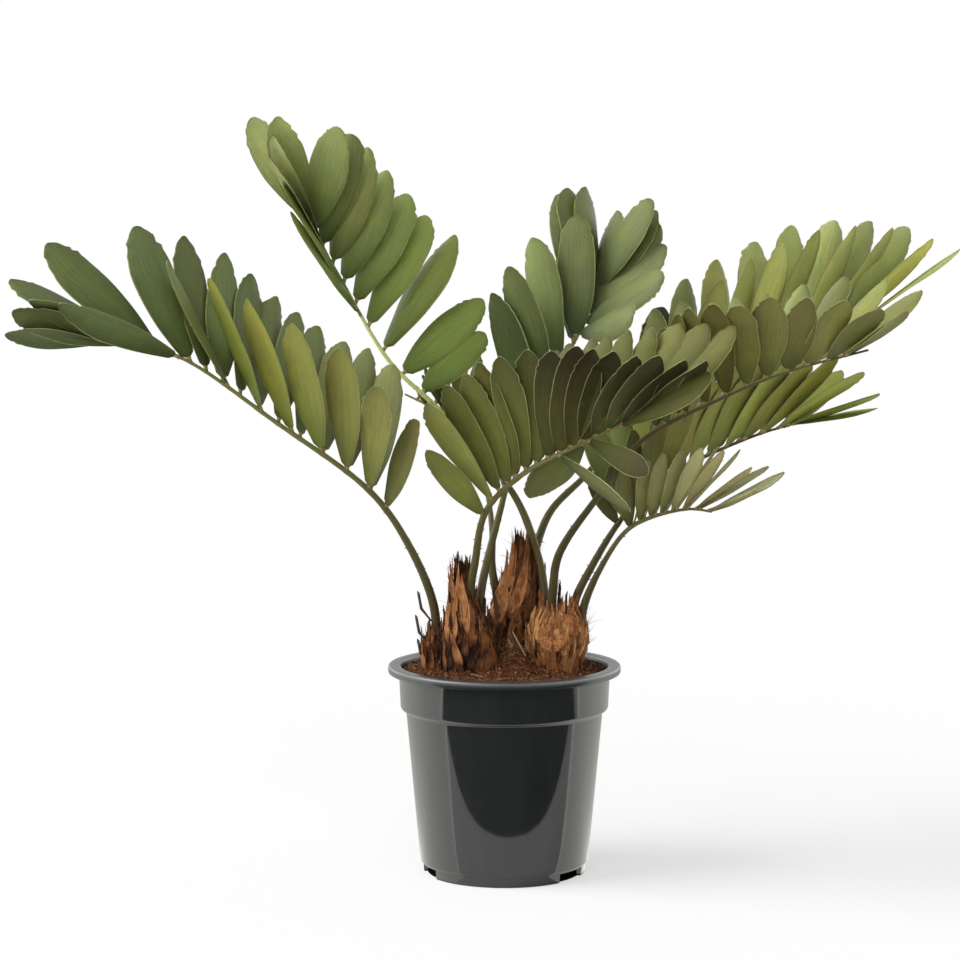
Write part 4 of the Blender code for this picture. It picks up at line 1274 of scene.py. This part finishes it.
def make_mix():
    """The surface with its crumbs, and the plain sides and bottom inside the pot."""
    sketch = Sketch()
    rings = []
    for step in range(1, MIX_RINGS + 1):
        radius = INNER_RADIUS * step / MIX_RINGS
        sides = [(radius * math.cos(turn), radius * math.sin(turn)) for turn in turns(MIX_SIDES)]
        rings.append([sketch.point(on_mix(x, y)) for x, y in sides])
    sketch.fan(rings[0], sketch.point(on_mix(0.0, 0.0)))
    rings += [sketch.circle(radius, height, MIX_SIDES) for radius, height in MIX_SIDE]
    for lower, upper in zip(rings, rings[1:]):
        sketch.bridge(lower, upper, COIR)
    sketch.face(rings[-1], COIR)
    for _ in range(CHIPS):
        spot = anywhere_on_mix(0.985)
        size = blend(*CHIP_SIZES, dice.random() ** 2)
        chip(sketch, spot + Vector((0.0, 0.0, 0.3 * size)), size, CRUMB)
    for _ in range(HAIRS):
        start = anywhere_on_mix(0.96)
        lean = outward(any_turn()) + Vector((0.0, 0.0, dice.uniform(-0.1, 0.5)))
        fibre(sketch, start, lean, dice.uniform(*HAIR_LENGTHS), HAIR_RADIUS, HAIR)
    for root, tip in STRAWS:
        middle = Vector(root).lerp(Vector(tip), 0.5)
        sketch.strand([root, middle, tip], STRAW_RADII, 6, STRAW)
    for _ in range(HEAP_HAIRS):
        x = MOUND[0] + dice.gauss(0, 0.6) * MOUND_SPREAD
        y = MOUND[1] + dice.gauss(0, 0.6) * MOUND_SPREAD
        lean = (dice.gauss(0, 1), dice.gauss(0, 1), dice.uniform(0.0, 1.2))
        length = dice.uniform(*HEAP_HAIR_LENGTHS)
        fibre(sketch, on_mix(x, y), lean, length, HEAP_HAIR_RADIUS, HAIR)
    chip(sketch, on_mix(*PEBBLE) + Vector((0.0, 0.0, 0.001)), PEBBLE_SIZE, STRAW)
    surfaces = [coir_finish(), crumb_finish(), hair_finish(), straw_finish()]
    sketch.piece("potting_mix_crumbs", "potting_mix", surfaces, 60)


def coir_finish():
    """The matted surface between the crumbs."""
    finish = Finish("coir", 0.95, 0.1)
    clumps = finish.grain(260.0, 8.0, 0.7)
    tone = clumps.ramp(
        (0.32, (0.012, 0.005, 0.003)),
        (0.50, (0.075, 0.026, 0.011)),
        (0.66, (0.190, 0.070, 0.028)),
        (0.80, (0.330, 0.150, 0.065)),
    )
    finish.colour(tone.mottle(finish.grain(45.0), 0.65, 1.35))
    finish.bump(clumps, 0.0015)
    return finish.material


def crumb_finish():
    """Bark crumbs from near black to tan, each of one tone."""
    finish = Finish("bark_crumb", 0.9, 0.1)
    _, _, tag = finish.place()
    tone = tag.ramp(
        (0.0, (0.020, 0.009, 0.005)),
        (0.45, (0.090, 0.033, 0.014)),
        (0.80, (0.210, 0.080, 0.032)),
        (0.97, (0.400, 0.240, 0.120)),
    )
    grain = finish.grain(1200.0, 4.0)
    finish.colour(tone.mottle(grain, 0.6, 1.3))
    finish.bump(grain, 0.0004)
    return finish.material


def hair_finish():
    """Coir hairs from brown to straw."""
    finish = Finish("coir_hair", 0.8, 0.1)
    _, _, tag = finish.place()
    tone = tag.ramp(
        (0.0, (0.060, 0.022, 0.010)),
        (0.6, (0.230, 0.095, 0.038)),
        (1.0, (0.460, 0.280, 0.140)),
    )
    finish.colour(tone.mottle(finish.grain(900.0), 0.7, 1.2))
    return finish.material


def straw_finish():
    colours = ((0.260, 0.170, 0.085), (0.520, 0.400, 0.250))
    return two_tone("straw", 0.7, 0.2, 700.0, 4.0, colours, 0.0003)


# The pot. Its section is radius and height, from the floor's top round to the floor's underside.
POT_SIDES = 192
POT_SHARP = 35
FLOOR_TOP = 0.0125
FLOOR_BOTTOM = 0.0100
POT_INSIDE = (
    (0.0715, FLOOR_TOP), (0.0738, 0.0130), (0.0746, 0.0145), (0.0873, 0.1500), (0.0880, 0.1512),
    (0.0910, 0.1525), (0.0919, 0.1540),
)
POT_RIM = (
    (0.0936, 0.1900), (0.0941, 0.1914), (0.0953, 0.1920), (0.1030, 0.1920), (0.1040, 0.1917),
    (0.1047, 0.1910), (0.1050, 0.1900), (0.1050, 0.1864), (0.1046, 0.1852), (0.1036, 0.1846),
    (0.0962, 0.1845), (0.0955, 0.1842), (0.0952, 0.1835),
)
POT_OUTSIDE = (
    (0.0939, 0.1542), (0.0936, 0.1530), (0.0928, 0.1517), (0.0914, 0.1507), (0.0899, 0.1502),
    (0.0890, 0.1494), (0.0887, 0.1482), (0.0764, 0.0118), (0.0761, 0.0108), (0.0756, 0.0102),
)
POT_FOOT = (
    (0.0745, 0.0100), (0.0739, 0.0097), (0.0737, 0.0090), (0.0730, 0.0008), (0.0727, 0.0002),
    (0.0722, 0.0000), (0.0698, 0.0000), (0.0692, 0.0002), (0.0690, 0.0008), (0.0688, 0.0092),
    (0.0684, FLOOR_BOTTOM),
)
POT_SECTION = POT_INSIDE + POT_RIM + POT_OUTSIDE + POT_FOOT
POT_BULGE = 1.015
FOOT_RADIUS = 0.074
FOOT_GAP_AZIMUTHS = (-34.0, 84.0, 199.0)
FOOT_GAP_SIZE = (0.016, 0.036, 0.017)
DRAIN_HOLES = 6
DRAIN_HOLE_RADIUS = 0.006
DRAIN_HOLE_DEPTH = 0.010
DRAIN_HOLE_CENTRE = (0.055, 0.0, 0.0112)
FIRST_HOLE_AZIMUTH = 26.0


def cut(made, shape, azimuth, centre, size=(1.0, 1.0, 1.0)):
    """Takes a shape away from a piece for good."""
    mesh = bpy.data.meshes.new("cutter")
    shape.to_mesh(mesh)
    shape.free()
    turn = Matrix.Rotation(math.radians(azimuth), 4, "Z")
    mesh.transform(turn @ Matrix.Translation(centre) @ Matrix.Diagonal((*size, 1.0)))
    cutter = add_object("cutter", mesh)
    step = made.modifiers.new("cut", "BOOLEAN")
    step.operation = "DIFFERENCE"
    step.solver = "EXACT"
    step.object = cutter
    graph = bpy.context.evaluated_depsgraph_get()
    result = bpy.data.meshes.new_from_object(made.evaluated_get(graph))
    made.modifiers.remove(step)
    made.data = result
    bpy.data.objects.remove(cutter, do_unlink=True)


def make_pot():
    """The turned shell, with gaps cut in its foot ring and holes in its floor."""
    sketch = Sketch()
    rings = [sketch.circle(POT_BULGE * radius, height, POT_SIDES) for radius, height in POT_SECTION]
    for lower, upper in zip(rings, rings[1:]):
        sketch.bridge(lower, upper)
    for ring, height in ((rings[0], FLOOR_TOP), (rings[-1], FLOOR_BOTTOM)):
        sketch.fan(ring, sketch.point((0.0, 0.0, height)))
    made = sketch.piece("pot_shell", "pot", [plastic_finish()], POT_SHARP)
    for azimuth in FOOT_GAP_AZIMUTHS:
        shape = bmesh.new()
        bmesh.ops.create_cube(shape, size=1.0)
        cut(made, shape, azimuth, (FOOT_RADIUS, 0.0, 0.0), FOOT_GAP_SIZE)
    for index in range(DRAIN_HOLES):
        shape = bmesh.new()
        ends = {"radius1": DRAIN_HOLE_RADIUS, "radius2": DRAIN_HOLE_RADIUS, "cap_ends": True}
        bmesh.ops.create_cone(shape, segments=40, depth=DRAIN_HOLE_DEPTH, **ends)
        cut(made, shape, FIRST_HOLE_AZIMUTH + 360 / DRAIN_HOLES * index, DRAIN_HOLE_CENTRE)
    made.data.shade_smooth()
    made.data.set_sharp_from_angle(angle=math.radians(POT_SHARP))


def plastic_finish():
    """Satin slate-grey moulded plastic with faint flow lines, duller on the rim."""
    finish = Finish("slate_plastic", 0.10, 0.75)
    x, y, z = finish.axes(finish.spot())
    flow = finish.noise(finish.combine(x, y, z * 0.06), 90.0, 4.0)
    finish.colour(flow.ramp((0.3, (0.0150, 0.0165, 0.0165)), (0.7, (0.0200, 0.0215, 0.0210))))
    scuffs = finish.grain(320.0, 5.0)
    worn = z.spread(0.183, 0.188, 0.0, 0.26)
    finish.rough(scuffs.spread(0.35, 0.75, 0.05, 0.12) + worn)
    finish.bump(flow + scuffs * 0.25, 0.00002)
    return finish.material


# The studio: a white floor, soft light from the upper left, and the camera. Bearings are degrees
# from -Y, the side that is seen, towards +X.
CAMERA_X = -0.0224
CAMERA_DISTANCE = 2.671
CAMERA_HEIGHT = 0.6258
AIM_HEIGHT = 0.3615
LENS = 110.4
SENSOR = 36.0
STUDIO_REACH = 12.0
PAPER_TONE = (0.42, 0.42, 0.42)
PAPER_BOUNCE = (0.95, 0.95, 0.95)
PAPER_GLOW = 0.56
POT_FACE_RADIUS = 0.083
LEFT_LINE = (-33.5, -75)
RIGHT_LINE = (36.0, 91)
LINE_SPAN = 4
SIDE_SPAN = 50
BACK_BEARING = 184
CARD_REACH = 6.0
CARD_HEIGHT = 0.0015
LINE_STRENGTH = 1.8
SIDE_STRENGTH = 1.4
BACK_STRENGTH = 0.35
GLOW_TONE = (1.0, 1.0, 0.93)
# The edge between the paper and the dark room, as the pot mirrors it.
PAPER_EDGE = 0.151
PAPER_TURN = 4.0
PAPER_BEND = 0.08
PAPER_BEND_START = 0.03
PAPER_EDGE_STEPS = 24
DARK_HEIGHT = 0.001
SHADE_RADIUS = 0.071
SHADE_HEIGHT = 0.0004
SHADE_SIDES = 48
# How bright the air is: as light, and in reflections ahead and to the sides.
DIFFUSE_AIR = 0.36
FRONT_AIR = 0.9
SIDE_AIR = 3.3
# Each lamp: where it stands, its strength, and how many degrees it fills.
KEY_LIGHT = ((-2.0, -0.42, 1.5), 3.0, 48)
FILL_LIGHT = ((-0.4, -2.0, 0.9), 1.0, 60)


def towards(bearing):
    return outward(math.radians(bearing - 90))


def make_world():
    """White behind the plant, softer as light; in reflections brighter to the sides."""
    world = bpy.data.worlds.new("studio_air")
    bpy.context.scene.world = world
    world.use_nodes = True
    nodes = Nodes(world.node_tree)
    x, _, _ = nodes.axes(nodes.value("ShaderNodeTexCoord", "Generated"))
    mirrored = x.math("ABSOLUTE").spread(0.15, 0.75, FRONT_AIR, SIDE_AIR)
    glossy = nodes.value("ShaderNodeLightPath", "Is Glossy Ray")
    shining = glossy.spread(0.0, 1.0, DIFFUSE_AIR, mirrored)
    seen = nodes.value("ShaderNodeLightPath", "Is Camera Ray")
    air = world.node_tree.nodes["Background"].inputs
    nodes.feed(air["Color"], WHITE)
    nodes.feed(air["Strength"], seen.spread(0.0, 1.0, shining, 1.0))


def light_from(name, position, strength, softness):
    """A broad soft light, far off, so that the floor is lit evenly."""
    light = bpy.data.lights.new(name, "SUN")
    light.energy = strength
    light.angle = math.radians(softness)
    lamp = add_object(name, light)
    lamp.location = position
    lamp.rotation_euler = Vector(position).to_track_quat("Z", "Y").to_euler()


def sheet(name, corners, finish):
    """A flat card of the studio."""
    mesh = bpy.data.meshes.new(name)
    mesh.from_pydata(corners, [], [tuple(range(len(corners)))])
    mesh.materials.append(finish.material)
    card = add_object(name, mesh)
    return card


def only_in_reflections(card):
    card.visible_camera = False
    card.visible_diffuse = False
    card.visible_shadow = False
    card.visible_transmission = False
    card.visible_volume_scatter = False


def make_floor():
    """White paper, just short of burnt out for the camera so that soft shadows show."""
    paper = Finish("white_paper", 0.9, 0.0)
    seen = paper.value("ShaderNodeLightPath", "Is Camera Ray")
    paper.colour(paper.mix(seen, PAPER_BOUNCE, PAPER_TONE))
    paper.glow(WHITE, seen * PAPER_GLOW)
    signs = ((-1, -1), (1, -1), (1, 1), (-1, 1))
    sheet("floor", [(x * STUDIO_REACH, y * STUDIO_REACH, 0) for x, y in signs], paper)


def wedge(name, azimuth, bearings, finish):
    """A flat card over the floor, spreading from the pot's face between two bearings."""
    apex = towards(azimuth) * POT_FACE_RADIUS + Vector((0.0, 0.0, CARD_HEIGHT))
    corners = [apex] + [apex + CARD_REACH * towards(bearing) for bearing in bearings]
    only_in_reflections(sheet(name, corners, finish))


def dull_finish(name, tone):
    """A grey that neither shines nor mirrors."""
    finish = Finish(name, 1.0, 0.0)
    finish.colour((tone, tone, tone))
    return finish


def side_finish():
    """The paper beside the pot: brightest at its side, dimmer behind it."""
    finish = dull_finish("side_glow", 0.0)
    x, y, _ = finish.axes(finish.spot())
    bearing = x.math("ABSOLUTE").math("ARCTAN2", y * -1.0)
    finish.glow(GLOW_TONE, bearing.spread(1.9, 3.05, SIDE_STRENGTH, BACK_STRENGTH))
    return finish


def make_reflections():
    """What the pot mirrors: a dark room beyond the paper's near edge, brighter paper beside it."""
    away = towards(PAPER_TURN)
    beside = towards(PAPER_TURN + 90)
    corners = []
    for step in range(-PAPER_EDGE_STEPS, PAPER_EDGE_STEPS + 1):
        across = STUDIO_REACH * (step / PAPER_EDGE_STEPS) ** 3
        bend = PAPER_BEND * (math.hypot(across, PAPER_BEND_START) - PAPER_BEND_START)
        spot = (PAPER_EDGE - bend) * away + across * beside
        corners.append(spot + Vector((0.0, 0.0, DARK_HEIGHT)))
    corners += [corner + 2 * STUDIO_REACH * away for corner in (corners[-1], corners[0])]
    only_in_reflections(sheet("dark_card", corners, dull_finish("dark_room", 0.02)))
    line = dull_finish("line_glow", 0.0)
    line.glow(GLOW_TONE, LINE_STRENGTH)
    sides = side_finish()
    for side, (azimuth, bearing) in (("left", LEFT_LINE), ("right", RIGHT_LINE)):
        sign = math.copysign(1, bearing)
        inner = bearing + sign * LINE_SPAN
        outer = inner + sign * SIDE_SPAN
        wedge(f"line_{side}", azimuth, (bearing, inner), line)
        wedge(f"side_{side}", azimuth, (inner, outer), sides)
        wedge(f"back_{side}", azimuth, (outer, sign * BACK_BEARING), sides)
    # A dark disc under the pot, seen through the gaps in its foot: painted shade.
    lift = Vector((0.0, 0.0, SHADE_HEIGHT))
    corners = [outward(turn) * SHADE_RADIUS + lift for turn in turns(SHADE_SIDES)]
    sheet("pot_shade", corners, dull_finish("pot_shade", 0.01))


def make_camera():
    lens = bpy.data.cameras.new("camera")
    lens.lens = LENS
    lens.sensor_width = SENSOR
    camera = add_object("camera", lens)
    camera.location = (CAMERA_X, -CAMERA_DISTANCE, CAMERA_HEIGHT)
    aim = Vector((CAMERA_X, 0.0, AIM_HEIGHT)) - camera.location
    camera.rotation_euler = aim.to_track_quat("-Z", "Y").to_euler()
    bpy.context.scene.camera = camera


def main():
    bpy.context.scene.view_settings.view_transform = "Standard"
    make_world()
    make_floor()
    make_reflections()
    light_from("key_light", *KEY_LIGHT)
    light_from("fill_light", *FILL_LIGHT)
    make_camera()
    make_pot()
    make_mix()
    for name, plan in CROWNS.items():
        make_crown(name, plan)
    for name, plan in FRONDS.items():
        make_frond(name, plan)


main()
